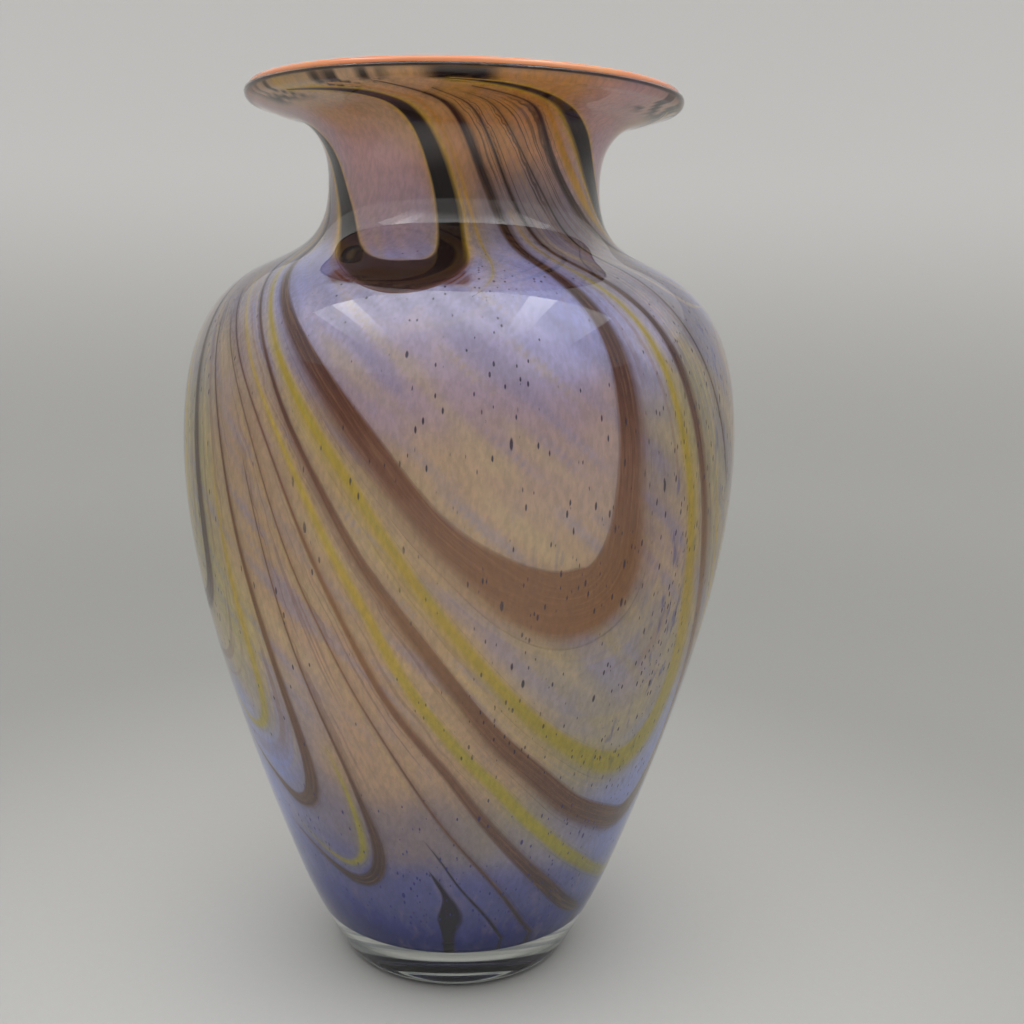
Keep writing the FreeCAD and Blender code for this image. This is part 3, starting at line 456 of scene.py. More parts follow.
# How a kind of trail ends at its sides: strength and reach in mm of the stain beyond them, and
# how far in from them the core colour is reached, as (inner side, outer side) of its curve.
EDGES = {
    "brown": (0.40, (1.6, 2.6), (0.9, 1.8)),
    "yellow": (0.55, (2.2, 2.6), (1.6, 2.0)),
    "aubergine": (0.80, (0.8, 2.2), (0.7, 1.6)),
}
SOFT_RUNS = (250, 190)           # soft sides grow to their full reach between these runs
SWAG_STAIN = (180, 146, 40)      # stain beside the aubergine swags on the neck
SWAG_LOW_STAIN = (88, 48, 36)    # ... and under their hanging bowls
SWAG_STAIN_RUNS = (262, 272)     # between these runs it turns from the low stain to the high one
LOW_STAIN_WIDTH = 4.6            # the low stain is even over this many mm before it fades
LOW_STAIN_RUNS = (261, 254)      # ... below these runs
STAIN_END_RUNS = (225, 245)      # aubergine trails below these have no stain
LIP_DASH = (30, 16, 15)          # short dark dashes close under the lip
LIP_LINE = (52, 32, 32)          # dark line where the colour ends under the orange wrap
GROUND_INSET = 1.3               # the ground's own trail colour stays under the trails' pieces
LOWEST_TRAIL = 13.5              # trails that reach this run carry on down to the floor as a stain
NOISE_CELLS = 64                 # value noise repeats after this many cells
SPOT_WARP = 14.0                 # mm by which noise pulls the spots of tint out of shape
WARP_CELL = 22.0                 # size of that noise along the run
WARP_RING = 3.0                  # radius, in cells, of the ring it is read on, so that it joins up
FAR_SPOT_ANGLE = 45              # spots past this angle are half as strong in the far lobes
STREAK_SLANT = 0.24              # streaks in the tint: cells round the vase per mm of run
STREAK_LENGTH = 25.0
STREAK_EDGES = (0.58, 0.86)
STREAK_SHARE = 0.5
STREAK_LOW_RUNS, STREAK_HIGH_RUNS = (90, 140), (300, 270)
GRAIN_END_RUNS = (285, 255)      # no dark grains above these


def sample(grid, x, y, smooth=False):
    """Value of a grid that repeats itself, between its points."""
    column, row = np.floor(x).astype(int), np.floor(y).astype(int)
    share_x, share_y = x - column, y - row
    if smooth:
        share_x, share_y = smooth_step(0, 1, share_x), smooth_step(0, 1, share_y)
    near, beside = (grid[(column + i) % grid.shape[0], row % grid.shape[1]] * (1 - share_y)
                    + grid[(column + i) % grid.shape[0], (row + 1) % grid.shape[1]] * share_y
                    for i in (0, 1))
    return near * (1 - share_x) + beside * share_x


def value_noise(x, y, seed):
    """Smooth noise between 0 and 1 with cells of unit size."""
    return sample(np.random.default_rng(seed).random((NOISE_CELLS, NOISE_CELLS)), x, y, True)


def cells_round(angle):
    """Noise cells at an angle, twice a whole pattern round the vase so that its ends meet."""
    return angle * 2 * NOISE_CELLS / 360


def angle_between(a, b):
    """How far a is past b, from -180 to 180 degrees."""
    return (a - b + 180.0) % 360.0 - 180.0


def spot_share(away_x, away_y, across, along):
    """Strength of a spot, 1 in its middle, at points this many mm away from it."""
    return np.exp(-0.5 * ((away_x / across) ** 2 + (away_y / along) ** 2))


def lit(colour, run):
    """Glass colour that looks like `colour` at a run, painted lighter or darker by that run's gain for
    light and shade; a channel that would pass the limit dims all.
    """
    colour = colour * GLASS_GAIN * np.interp(run, *np.transpose(PAINTED_LIGHT_GAINS))[:, None]
    return colour * np.minimum(1, GLASS_LIMIT / colour.max(axis=1))[:, None]


def ground_tint(angle, run):
    """Broad colour of the ground: spots of tint, melted into each other."""
    radius = wall_radius(run)
    ring_x, ring_y = WARP_RING * np.cos(np.radians(angle)), WARP_RING * np.sin(np.radians(angle))
    warp_x = SPOT_WARP * (value_noise(ring_x + 20, run / WARP_CELL + ring_y + 9, 3) - 0.5)
    warp_y = SPOT_WARP * (value_noise(ring_y + 40, run / WARP_CELL + ring_x + 31, 4) - 0.5)
    total = np.full((len(run), 3), 1e-9)
    colour = total * glass_colour(*TINTS["stone"])
    for lobe, shift in enumerate(LOBES):
        for tint, spot_angle, spot_run, across, along in SPOTS:
            uneven = 2 * lobe * (spot_run % 7 - 3)      # degrees, so that the lobes aren't alike
            away = angle_between(angle, spot_angle + shift + uneven)
            weight = spot_share(np.radians(away) * radius + warp_x, run - spot_run + warp_y,
                                across, along)[:, None]
            if lobe > 0 and abs(spot_angle) > FAR_SPOT_ANGLE:
                weight = weight / 2
            colour += weight * glass_colour(*TINTS[tint])
            total += weight
    colour = colour / total
    streak = value_noise(cells_round(angle) + STREAK_SLANT * run, run / STREAK_LENGTH, 5)
    faded = smooth_step(*STREAK_LOW_RUNS, run) * smooth_step(*STREAK_HIGH_RUNS, run)
    for tint, amount in (("blue_streak", streak), ("warm_streak", 1 - streak)):
        share = (STREAK_SHARE * smooth_step(*STREAK_EDGES, amount) * faded)[:, None]
        colour = colour * (1 - share) + glass_colour(*TINTS[tint]) * share
    return lit(colour, run)


def grain_share(angle, run):
    """Share of the grain cells that hold a dark grain."""
    radius = wall_radius(run)
    share = np.full(len(run), GRAIN_FLOOR)
    for shift in LOBES:
        for spot_angle, spot_run, across, along, peak in GRAIN_SPOTS:
            away = np.radians(angle_between(angle, spot_angle + shift)) * radius
            share = np.maximum(share, peak * spot_share(away, run - spot_run, across, along))
    return share * smooth_step(*GRAIN_END_RUNS, run)


# ---- Trails ----

def glass_of(name):
    """Kind of glass of a trail, which its name ends with."""
    return name.rsplit("_", 1)[1]


def stroke_line(stroke, spacing):
    """Middle line of a stroke: angle, run, half width, left-hand direction and wall radius."""
    flat_radius = wall_radius(stroke[len(stroke) // 2][1])[0]
    scale = math.radians(flat_radius)
    curve = Curve([(angle * scale, run, width) for angle, run, width in stroke])
    count = round(curve.end / spacing) + 1
    (flat, run, width), along = (part.T for part in curve.at(np.linspace(0, curve.end, count)))
    radius = wall_radius(run)
    left = np.stack((-along[1], along[0] * radius / flat_radius), axis=1)
    left /= np.linalg.norm(left, axis=1)[:, None]
    return flat / scale, run, width / 2, left, radius


def core_colour(name, run):
    runs, colours = zip(*CORES[glass_of(name)])
    colours = np.array([glass_colour(*colour) for colour in colours]) * TRAILS[name].gain
    return lit(np.stack([np.interp(run, runs, part) for part in colours.T], axis=1), run)


def trail_colours(name, inside, left_side, run, tint, inset):
    """Core and stain of a trail at points `inside` mm in from its side (negative outside it).

    The core colour starts `inset` mm in from the side.
    """
    trail, glass = TRAILS[name], glass_of(name)
    strength, reach, depth_in = EDGES[glass]
    soft = trail.soft * smooth_step(*SOFT_RUNS, run)
    reach = np.where(left_side > 0, reach[1] + soft, reach[0])
    depth_in = np.where(left_side > 0, depth_in[1] + 0.6 * soft, depth_in[0])
    core = core_colour(name, run)
    outside = np.clip(-inside, 0, None)
    if glass == "aubergine":
        high = smooth_step(*SWAG_STAIN_RUNS, run)[:, None]
        edge = lit(glass_colour(*SWAG_STAIN) * high + glass_colour(*SWAG_LOW_STAIN) * (1 - high), run)
        even = LOW_STAIN_WIDTH * smooth_step(*LOW_STAIN_RUNS, run) * (left_side > 0)
        outside = np.clip(outside - even, 0, None)
        strength = strength * smooth_step(*STAIN_END_RUNS, run)
    else:
        edge = 0.55 * core + 0.45 * tint
    halo = np.where(inside < -3 * reach, 0, strength * np.exp(-2.0 * outside / reach))
    share = smooth_step(0, 1, (inside - inset) / depth_in)
    if trail.lower_fade:
        kept = smooth_step(*trail.lower_fade, run)
        halo, share = halo * kept, share * kept
    return core, share, edge, halo


def stronger(kept, colour, share):
    """The kept colours and shares, with another colour where its share is greater."""
    return np.where((share > kept[:, 3])[:, None], np.column_stack((colour, share)), kept)


class Marks:
    """Per-point attributes of the coloured glass at (angle, run) points."""

    def __init__(self, angle, run):
        self.angle, self.run = angle, run
        self.tint = ground_tint(angle, run)
        self.edge, self.core = np.zeros((2, len(run), 4))

    def lay(self, name, inside, left_side, where=slice(None), inset=0.0):
        """Adds a trail's colours where they are stronger than what is there."""
        core, share, edge, halo = trail_colours(
            name, inside, left_side, self.run[where], self.tint[where], inset)
        self.core[where] = stronger(self.core[where], core, share)
        self.edge[where] = stronger(self.edge[where], edge, halo)

    def write(self, piece, flow):
        set_attribute(piece, "tint", np.column_stack((self.tint, np.ones(len(self.run)))))
        set_attribute(piece, "edge", self.edge)
        set_attribute(piece, "core", self.core)
        set_attribute(piece, "run", self.run / RUN_END)
        set_attribute(piece, "flow", flow_at(flow, self.angle, self.run))
        set_attribute(piece, "grains", grain_share(self.angle, self.run))


STAIN_MARGIN = 6.0        # mm round a trail that its stain can reach
SOFT_MARGIN = 3.0         # ... and more for each mm of its soft side
SMALLEST_RADIUS = 40.0    # less than the neck's, so that the search reaches far enough round
BATCH = 4000              # points that are compared with a stroke at a time


def near_trail(marks, stroke, margin):
    """Indices of points within a margin of a stroke, with their distance in and their side."""
    angle, run, half, left, _ = stroke_line(stroke, 1.0)
    low, high = run.min() - margin, run.max() + margin
    if low < LOWEST_TRAIL:
        low = 0
    middle = (angle.min() + angle.max()) / 2
    span = (angle.max() - angle.min()) / 2 + np.degrees((half.max() + margin) / SMALLEST_RADIUS)
    where = np.flatnonzero((marks.run > low) & (marks.run < high)
                           & (np.abs(angle_between(marks.angle, middle)) < span))
    radius = wall_radius(marks.run[where])
    inside, side = np.zeros((2, len(where)))
    for start in range(0, len(where), BATCH):
        part = slice(start, start + BATCH)
        points = where[part]
        away_x = np.radians(angle_between(marks.angle[points][:, None], angle))
        away_x = away_x * radius[part][:, None]
        away_y = np.maximum(marks.run[points], LOWEST_TRAIL)[:, None] - run
        depth = half - np.hypot(away_x, away_y)
        best = np.argmax(depth, axis=1)
        rows = np.arange(len(points))
        inside[part] = depth[rows, best]
        side[part] = away_x[rows, best] * left[best, 0] + away_y[rows, best] * left[best, 1]
    keep = inside > -margin
    return where[keep], inside[keep], side[keep]


# ---- Flow: which way the glass was dragged ----

FLOW_ANGLE_STEP = 1.5
FLOW_RUN_STEP = 3.0
FLOW_START = 5.0
FLOW_ROUNDS = 1500


def flow_field():
    """Levels on a grid of angle x run: fixed on the trails, relaxed to a smooth field between."""
    columns, rows = int(360 / FLOW_ANGLE_STEP), int(RUN_END / FLOW_RUN_STEP) + 1
    level = np.full((columns, rows), FLOW_START)
    fixed = np.zeros((columns, rows), bool)
    for trail in TRAILS.values():
        angle, run, *_ = stroke_line(trail.stroke, 1.0)
        column = np.round(angle / FLOW_ANGLE_STEP).astype(int) % columns
        row = np.clip(np.round(run / FLOW_RUN_STEP).astype(int), 0, rows - 1)
        level[column, row] = trail.level
        fixed[column, row] = True
    across = 1 / (np.radians(FLOW_ANGLE_STEP) * wall_radius(np.arange(rows) * FLOW_RUN_STEP)) ** 2
    along = 1 / FLOW_RUN_STEP ** 2
    for _ in range(FLOW_ROUNDS):
        sides = np.roll(level, 1, 0) + np.roll(level, -1, 0)
        padded = np.pad(level, ((0, 0), (1, 1)), "edge")
        ends = padded[:, :-2] + padded[:, 2:]
        relaxed = (sides * across + ends * along) / (2 * (across + along))
        level = np.where(fixed, level, relaxed)
    return level


def flow_at(level, angle, run):
    """Level of the flow at (angle, run) points."""
    last_row = level.shape[1] - 1.001
    return sample(level, angle / FLOW_ANGLE_STEP, np.clip(run / FLOW_RUN_STEP, 0, last_row))


# ---- Materials ----

class Nodes:
    """Short forms for making the nodes of a material, a lamp or a world."""

    def __init__(self, block, shader="Principled BSDF"):
        self.block = block
        block.use_nodes = True
        self.tree = block.node_tree
        self.shader = self.tree.nodes[shader]

    def put(self, socket, value):
        if isinstance(value, bpy.types.NodeSocket):
            self.tree.links.new(value, socket)
        else:
            socket.default_value = value

    def finish(self, **values):
        """Sets the shader's inputs, and gives the block back."""
        for socket, value in values.items():
            self.put(self.shader.inputs[socket.replace("_", " ")], value)
        return self.block

    def add(self, kind, inputs=(), **settings):
        """Outputs of a new node; its inputs are given by name or by number."""
        node = self.tree.nodes.new("ShaderNode" + kind)
        for setting, value in settings.items():
            setattr(node, setting, value)
        for socket, value in dict(inputs).items():
            self.put(node.inputs[socket], value)
        return node.outputs

    def attribute(self, name, output="Fac"):
        return self.add("Attribute", attribute_name=name)[output]

    def math(self, operation, *values, clamp=False):
        return self.add("Math", enumerate(values), operation=operation, use_clamp=clamp)[0]

    def times(self, value_a, value_b):
        return self.math("MULTIPLY", value_a, value_b)

    def vector(self, x, y, z):
        return self.add("CombineXYZ", enumerate((x, y, z)))[0]

    def own_place(self):
        """The object's own x, y and z."""
        return self.add("SeparateXYZ", {0: self.add("TexCoord")["Object"]})

    def scaled_place(self, across, up):
        """The object's own place, scaled across and along the axis."""
        return self.add("Mapping", {"Vector": self.add("TexCoord")["Object"],
                                    "Scale": (across, across, up)})[0]

    def noise(self, vector, detail, roughness=0.5, scale=1.0):
        return self.add("TexNoise", {"Vector": vector, "Scale": scale, "Detail": detail,
                                     "Roughness": roughness})[0]

    def own_noise(self, across, up, detail, roughness=0.5):
        return self.noise(self.scaled_place(across, up), detail, roughness)

    def ramp(self, value, low, high, low_value=0.0, high_value=1.0):
        return self.add("MapRange", {
            "Value": value, "From Min": low, "From Max": high, "To Min": low_value,
            "To Max": high_value}, interpolation_type="SMOOTHSTEP")[0]

    def mix(self, share, colour_a, colour_b, blend="MIX"):
        return self.add("Mix", {0: share, 6: colour_a, 7: colour_b},
                        data_type="RGBA", blend_type=blend)[2]

    def bump(self, height, strength, distance):
        return self.add("Bump", {"Strength": strength, "Distance": distance, "Height": height})[0]

    def specks(self, across, up, share, size):
        """Strength of grains drawn out upwards; `share` of the cells of a 3-D pattern hold one."""
        cells = self.add("TexVoronoi", {"Vector": self.scaled_place(across, up), "Scale": 1.0})
        chance = self.add("SeparateColor", {"Color": cells["Color"]})
        chosen = self.math("LESS_THAN", chance[0], share)
        reach = self.ramp(chance[1], 0, 1, size * 0.5, size)
        near = self.math("SUBTRACT", reach, cells["Distance"])
        return self.times(self.ramp(near, 0.0, size * 0.4), chosen)


def material_nodes(name):
    return Nodes(bpy.data.materials.new(name))


def rgba(*colour):
    """Socket value for 0-255 display values."""
    return (*glass_colour(*colour).tolist(), 1.0)


def cased(*colour):
    """Socket value for glass that is seen through the casing."""
    return (*np.clip(glass_colour(*colour) * GLASS_GAIN, 0, GLASS_LIMIT).tolist(), 1.0)


def threaded_ground(nodes, run, flow, drawn):
    """Ground with threads along the flow: plum, amber on the neck and pale yellow on the body."""
    on_wall = nodes.times(nodes.ramp(run, 0.16, 0.32), nodes.ramp(run, 0.985, 0.95))
    streaky = nodes.times(nodes.ramp(flow, 1.7, 3.2, 0.15, 1.0), on_wall)
    thread = nodes.noise(drawn, 2.5, 0.62)
    dark = nodes.times(nodes.ramp(thread, 0.45, 0.36), streaky)
    pale = nodes.times(nodes.ramp(thread, 0.54, 0.68), streaky)
    neck = nodes.ramp(run, 0.78, 0.88)
    ground = nodes.mix(nodes.times(dark, nodes.ramp(neck, 0, 1, 0.42, 0.78)),
                       nodes.attribute("tint", "Color"),
                       nodes.mix(neck, cased(104, 74, 66), cased(46, 26, 21)))
    return nodes.mix(nodes.times(pale, 0.34), ground,
                     nodes.mix(neck, cased(164, 148, 88), cased(188, 132, 54)))


def coloured_glass(name, vein, vein_share):
    """Frit and trail colour under the casing; `vein` streaks the core of a trail.

    Here the run is a share: 0 above the foot and 1 at the lip.
    """
    nodes = material_nodes(name)
    run, flow, grains = (nodes.attribute(part) for part in ("run", "flow", "grains"))
    x, _, z = nodes.own_place()
    drawn = nodes.vector(nodes.times(flow, 5.0), nodes.times(z, 9.0), nodes.times(x, 7.0))
    ground = threaded_ground(nodes, run, flow, drawn)

    # clouds of frit, and short smudges drawn upwards
    cloud = nodes.own_noise(85, 30, 4.0, 0.6)
    for edges, colour in (((0.52, 0.70), cased(108, 106, 150)), ((0.48, 0.32), cased(164, 140, 118))):
        ground = nodes.mix(nodes.times(nodes.ramp(cloud, *edges), 0.12), ground, colour)
    smudge = nodes.times(nodes.ramp(nodes.own_noise(330, 72, 2.0), 0.56, 0.70),
                         nodes.ramp(grains, 0.2, 0.9, 0.0, 0.75))
    ground = nodes.mix(smudge, ground, cased(74, 74, 112))

    # dark grains
    fine = nodes.specks(900, 260, nodes.times(grains, 0.5), 0.42)
    coarse = nodes.specks(560, 150, nodes.times(grains, 0.12), 0.40)
    speck = nodes.math("MAXIMUM", fine, coarse)
    speck_colour = nodes.mix(nodes.ramp(run, 0.30, 0.16), cased(24, 20, 42), cased(34, 36, 96))
    ground = nodes.mix(nodes.times(speck, 0.9), ground, speck_colour)

    # stain beside the trails, then the trails' own core colour with its veins
    ragged = nodes.ramp(nodes.noise(drawn, 3.0, 0.7, 2.3), 0.3, 0.7, 0.65, 1.3)
    stain = nodes.math("MULTIPLY", nodes.attribute("edge", "Alpha"), ragged, clamp=True)
    glass = nodes.mix(stain, ground, nodes.attribute("edge", "Color"))
    length = nodes.vector(nodes.times(nodes.attribute("across"), 1.1),
                          nodes.times(nodes.attribute("along"), 0.035), 0.0)
    veins = nodes.ramp(nodes.noise(length, 4.0, 0.65), 0.42, 0.72, 0.0, vein_share)
    core = nodes.mix(veins, nodes.attribute("core", "Color"), vein)
    core = nodes.mix(nodes.times(smudge, 0.5), core, cased(70, 70, 60))
    core = nodes.mix(nodes.times(speck, 0.8), core, speck_colour)
    glass = nodes.mix(nodes.attribute("core", "Alpha"), glass, core)

    # a fine grain over everything
    grain = nodes.own_noise(620, 260, 3.0, 0.65)
    grain_gain = nodes.ramp(grain, 0.3, 0.7, 0.9, 1.09)
    grey = nodes.add("CombineColor", enumerate([grain_gain] * 3))[0]
    glass = nodes.mix(1.0, glass, grey, "MULTIPLY")
    return nodes.finish(Base_Color=glass, Roughness=nodes.ramp(grain, 0.2, 0.8, 0.38, 0.52),
                        Specular_IOR_Level=0.15, Normal=nodes.bump(grain, 0.12, 0.0002))


def clear_glass():
    """Casing glass with faint cords; its thick foot is painted dark grey-green with dark bands and a
    near-black bottom edge, partly the glass's own tint and cords and partly painted shade; heights are
    in metres.
    """
    nodes = material_nodes("clear_glass")
    height = nodes.own_place()[2]
    cords = nodes.own_noise(26, 7, 2.0)
    tone = nodes.mix(cords, (0.978, 0.985, 0.98, 1), (0.992, 0.996, 0.993, 1))
    # Painted shade: below 13 to 17 mm the foot turns dark grey-green, partly the glass's tint and partly
    # the shade of the floor seen through it.
    foot = nodes.ramp(height, 0.017, 0.013)
    tone = nodes.mix(foot, tone, (0.36, 0.38, 0.335, 1))
    # Painted shade: thin dark bands round the foot, partly cords and partly the dark bands that the
    # floor's shade makes through the glass.
    streak = nodes.times(nodes.ramp(nodes.own_noise(14, 520, 4.0, 0.65), 0.44, 0.56), foot)
    tone = nodes.mix(streak, tone, (0.10, 0.12, 0.13, 1))
    # Painted shade: a near-black, blue-tinged edge along the bottom 3 mm of the foot.
    tone = nodes.mix(nodes.ramp(height, 0.0028, 0.0006, 0.0, 0.9), tone, (0.05, 0.06, 0.12, 1))
    return nodes.finish(Base_Color=tone, Roughness=nodes.ramp(cords, 0.3, 0.7, 0.0, 0.02),
                        Transmission_Weight=1.0, IOR=1.5, Normal=nodes.bump(cords, 0.10, 0.001))


def orange_glass():
    """Opaque orange of the lining and the lip wrap, with coral clouds and a few seeds."""
    nodes = material_nodes("orange_glass")
    swirl = nodes.own_noise(18, 46, 5.0, 0.6)
    tone = nodes.mix(nodes.ramp(swirl, 0.32, 0.68), rgba(212, 124, 76), rgba(222, 158, 106))
    coral = nodes.ramp(nodes.own_noise(9, 9, 1.0), 0.45, 0.62, 0.0, 0.6)
    tone = nodes.mix(coral, tone, rgba(214, 120, 88))
    seeds = nodes.specks(240, 240, 0.07, 0.2)
    tone = nodes.mix(nodes.times(seeds, 0.5), tone, rgba(190, 80, 40))
    return nodes.finish(Base_Color=tone, Roughness=nodes.ramp(swirl, 0.3, 0.7, 0.05, 0.12),
                        Coat_Weight=0.4, Normal=nodes.bump(swirl, 0.08, 0.001))


def opal_glass():
    """Milky cream gather between the frit and the lining."""
    nodes = material_nodes("opal_glass")
    milk = nodes.own_noise(40, 20, 4.0, 0.6)
    return nodes.finish(Base_Color=nodes.mix(milk, rgba(226, 214, 204), rgba(246, 240, 232)),
                        Roughness=nodes.ramp(milk, 0.3, 0.7, 0.15, 0.3))


def backdrop_paper():
    """Grey paper: paler in front of the vase and darker on the wall behind the viewer, with painted
    shade in a wide soft ring on the floor round the vase.
    """
    nodes = material_nodes("backdrop_paper")
    x, y, height = nodes.own_place()
    floor = nodes.mix(nodes.own_noise(300, 300, 3.0, 0.6), (0.60, 0.605, 0.59, 1),
                      (0.63, 0.632, 0.62, 1))
    # Painted shade: a soft dark ring on the floor round the vase, centred 2 cm to its left so that it is
    # darker on its right; it deepens out to about 38 cm, fades by a third beyond 45 cm and stays off the
    # wall.
    shade_ring_radius = nodes.math("SQRT", nodes.math(
        "ADD", nodes.math("POWER", nodes.math("ADD", x, 0.02), 2.0), nodes.math("POWER", y, 2.0)))
    wall_share = nodes.ramp(height, 0.0, 0.45)
    shade_on_floor = nodes.times(nodes.math("SUBTRACT", 1.0, wall_share),
                           nodes.ramp(shade_ring_radius, 0.45, 1.1, 1.0, 0.66))
    tone = nodes.mix(wall_share, floor, (0.755, 0.755, 0.755, 1))
    # The painted shade laid over the floor: up to 42 % of the way to near-black.
    tone = nodes.mix(nodes.times(nodes.ramp(shade_ring_radius, 0.03, 0.38, 0.0, 0.42), shade_on_floor), tone,
                     (0.1, 0.1, 0.1, 1))
    front_wall = nodes.mix(nodes.ramp(y, -0.2, -1.7), (0.74, 0.73, 0.71, 1), (0.30, 0.30, 0.295, 1))
    front = nodes.mix(wall_share, (0.90, 0.89, 0.87, 1), front_wall)
    tone = nodes.mix(nodes.ramp(y, -0.12, -0.36), tone, front)
    return nodes.finish(Base_Color=tone, Roughness=0.75, Specular_IOR_Level=0.2)


# ---- The coloured ground and its trails ----

GROUND_SIDES = 340
GROUND_ROWS = 180
BACK_ROWS = 66            # the back needs its rows too, or its flats would cut through the neck
FLOOR_ROWS = 8
FLOOR_RUN = 2.0           # run that the middle of the colour's floor counts as
AXIS_GAP = 0.05
# (radius, height, share of the dark line) of the colour's thin edge inside the lip
LIP_SKIRT = np.array([(72.0, 316.75, 0.0), (73.3, 317.0, 0.2), (73.9, 317.1, 0.9),
                      (75.2, 317.35, 1.0), (75.2, 317.5, 1.0), (72.0, 317.45, 1.0)])
LIP_SEED = 8
LINE_PATCHES = 0.75       # how uneven the dark line is round the lip
DASH_SLANT = 0.45         # dashes under the lip: cells round the vase per mm of fall
DASH_LENGTH = 10.0
DASH_EDGES = (0.50, 0.66)
DASH_SHARE = 0.9
DASH_RUNS = (335, 341)
DASH_MIDDLE = -45         # degrees from the lobe's middle; the dashes fade out on either side
DASH_REACH = (30, 20)
WEDGE_EDGE = (-12, 8), (344.8, 341.6)      # lower edge of the wedge: angles and runs
WEDGE_START, WEDGE_END = (-13, -6), (10, 4)


def lip_dashes(angle, run):
    """Share of dark glass close under the lip: slanted dashes, and a longer wedge beside them."""
    fall = RUN_END - run
    noise = value_noise(cells_round(angle) - DASH_SLANT * fall, fall / DASH_LENGTH, LIP_SEED)
    dashes = DASH_SHARE * smooth_step(*DASH_EDGES, noise) * smooth_step(*DASH_RUNS, run)
    share = np.zeros(len(run))
    for lobe in LOBES:
        away = angle_between(angle, lobe)
        above = smooth_step(-1.0, 0.5, run - np.interp(away, *WEDGE_EDGE))
        wedge = above * smooth_step(*WEDGE_START, away) * smooth_step(*WEDGE_END, away)
        near = smooth_step(*DASH_REACH, np.abs(angle_between(away, DASH_MIDDLE)))
        share = np.maximum(share, np.maximum(dashes * near, wedge))
    return share


def ground_profile():
    """Outline of the frit layer as (radius, height), with its runs and shares of the dark line."""
    side_run = np.linspace(RUN_START, RUN_END, GROUND_ROWS)
    back_run = np.linspace(RUN_END, RUN_START, BACK_ROWS)
    corner, back_corner = corner_points(GROUND_DEPTH), corner_points(FRIT_BACK)[::-1]
    floor = np.linspace((AXIS_GAP, corner[0][1]), corner[0], FLOOR_ROWS, endpoint=False)
    profile = np.concatenate((
        floor, corner, wall(side_run, GROUND_DEPTH), LIP_SKIRT[:, :2],
        wall(back_run, FRIT_BACK), back_corner, [(AXIS_GAP, back_corner[-1][1])]))
    lead = len(floor) + len(corner)
    run = np.concatenate((
        np.linspace(FLOOR_RUN, RUN_START, lead, endpoint=False), side_run,
        np.full(len(LIP_SKIRT), RUN_END), back_run, np.full(len(back_corner) + 1, RUN_START)))
    line = np.zeros(len(profile))
    line[lead + GROUND_ROWS:][:len(LIP_SKIRT)] = LIP_SKIRT[:, 2]
    return profile, run, line


def ground_piece(flow, material):
    """The frit layer: a closed shell, finely divided outside, drawn out thin into the lip."""
    profile, run, line = ground_profile()
    piece = mesh_object("coloured_ground", *turned(profile, GROUND_SIDES, "joined"), material)
    angle = np.tile(np.arange(GROUND_SIDES) * 360.0 / GROUND_SIDES, len(profile))
    marks = Marks(angle, np.repeat(run, GROUND_SIDES))
    for name, trail in TRAILS.items():
        margin = STAIN_MARGIN + SOFT_MARGIN * trail.soft
        where, inside, side = near_trail(marks, trail.stroke, margin)
        inset = GROUND_INSET * smooth_step(LOWEST_TRAIL, LOWEST_TRAIL + 4, marks.run[where])
        marks.lay(name, inside, side, where, inset)
    dash = np.tile(glass_colour(*LIP_DASH), (len(angle), 1))
    marks.core = stronger(marks.core, dash, lip_dashes(angle, marks.run))
    line = np.repeat(line, GROUND_SIDES)[:, None]
    patch = value_noise(cells_round(angle), 0 * angle, LIP_SEED)[:, None]
    dark_line = (1 - LINE_PATCHES * patch) * line * glass_colour(*LIP_LINE)
    marks.tint = marks.tint * (1 - line) + dark_line
    marks.core[:, 3:] *= 1 - line
    marks.edge[:, 3:] *= 1 - line
    marks.write(piece, flow)
    return piece


TRAIL_TOP = 0.05          # depth of a trail's crest
TRAIL_SIDE = 0.19         # depth of its sides, just above the ground
TRAIL_UNDER = 0.40
TRAIL_SPACING = 1.3
TRAIL_COLUMNS = np.array((-1, -0.93, -0.8, -0.55, -0.25, 0, 0.25, 0.55, 0.8, 0.93, 1))
# Ring of points round a trail, over its top and back underneath: shares of half its width, depths.
TRAIL_RING = np.concatenate((TRAIL_COLUMNS, TRAIL_COLUMNS[::-2]))
TRAIL_DEPTHS = np.concatenate((TRAIL_TOP + (TRAIL_SIDE - TRAIL_TOP) * TRAIL_COLUMNS ** 4,
                               np.full(len(TRAIL_COLUMNS[::-2]), TRAIL_UNDER)))
END_TAPER = 9.0           # a trail that ends on the wall runs out to a thread over this length
TAPER_RUNS = (RUN_START + 6, 338.0)     # ends outside these runs go under the lip or the floor


def end_taper(run):
    """Width share along a trail, less than one only near the ends that lie on the wall."""
    steps = np.arange(len(run)) * TRAIL_SPACING
    share = np.ones(len(run))
    for end_run, distance in ((run[0], steps), (run[-1], steps[::-1])):
        if TAPER_RUNS[0] < end_run < TAPER_RUNS[1]:
            share *= np.sqrt(np.clip(distance / END_TAPER, 0.02, 1))
    return share


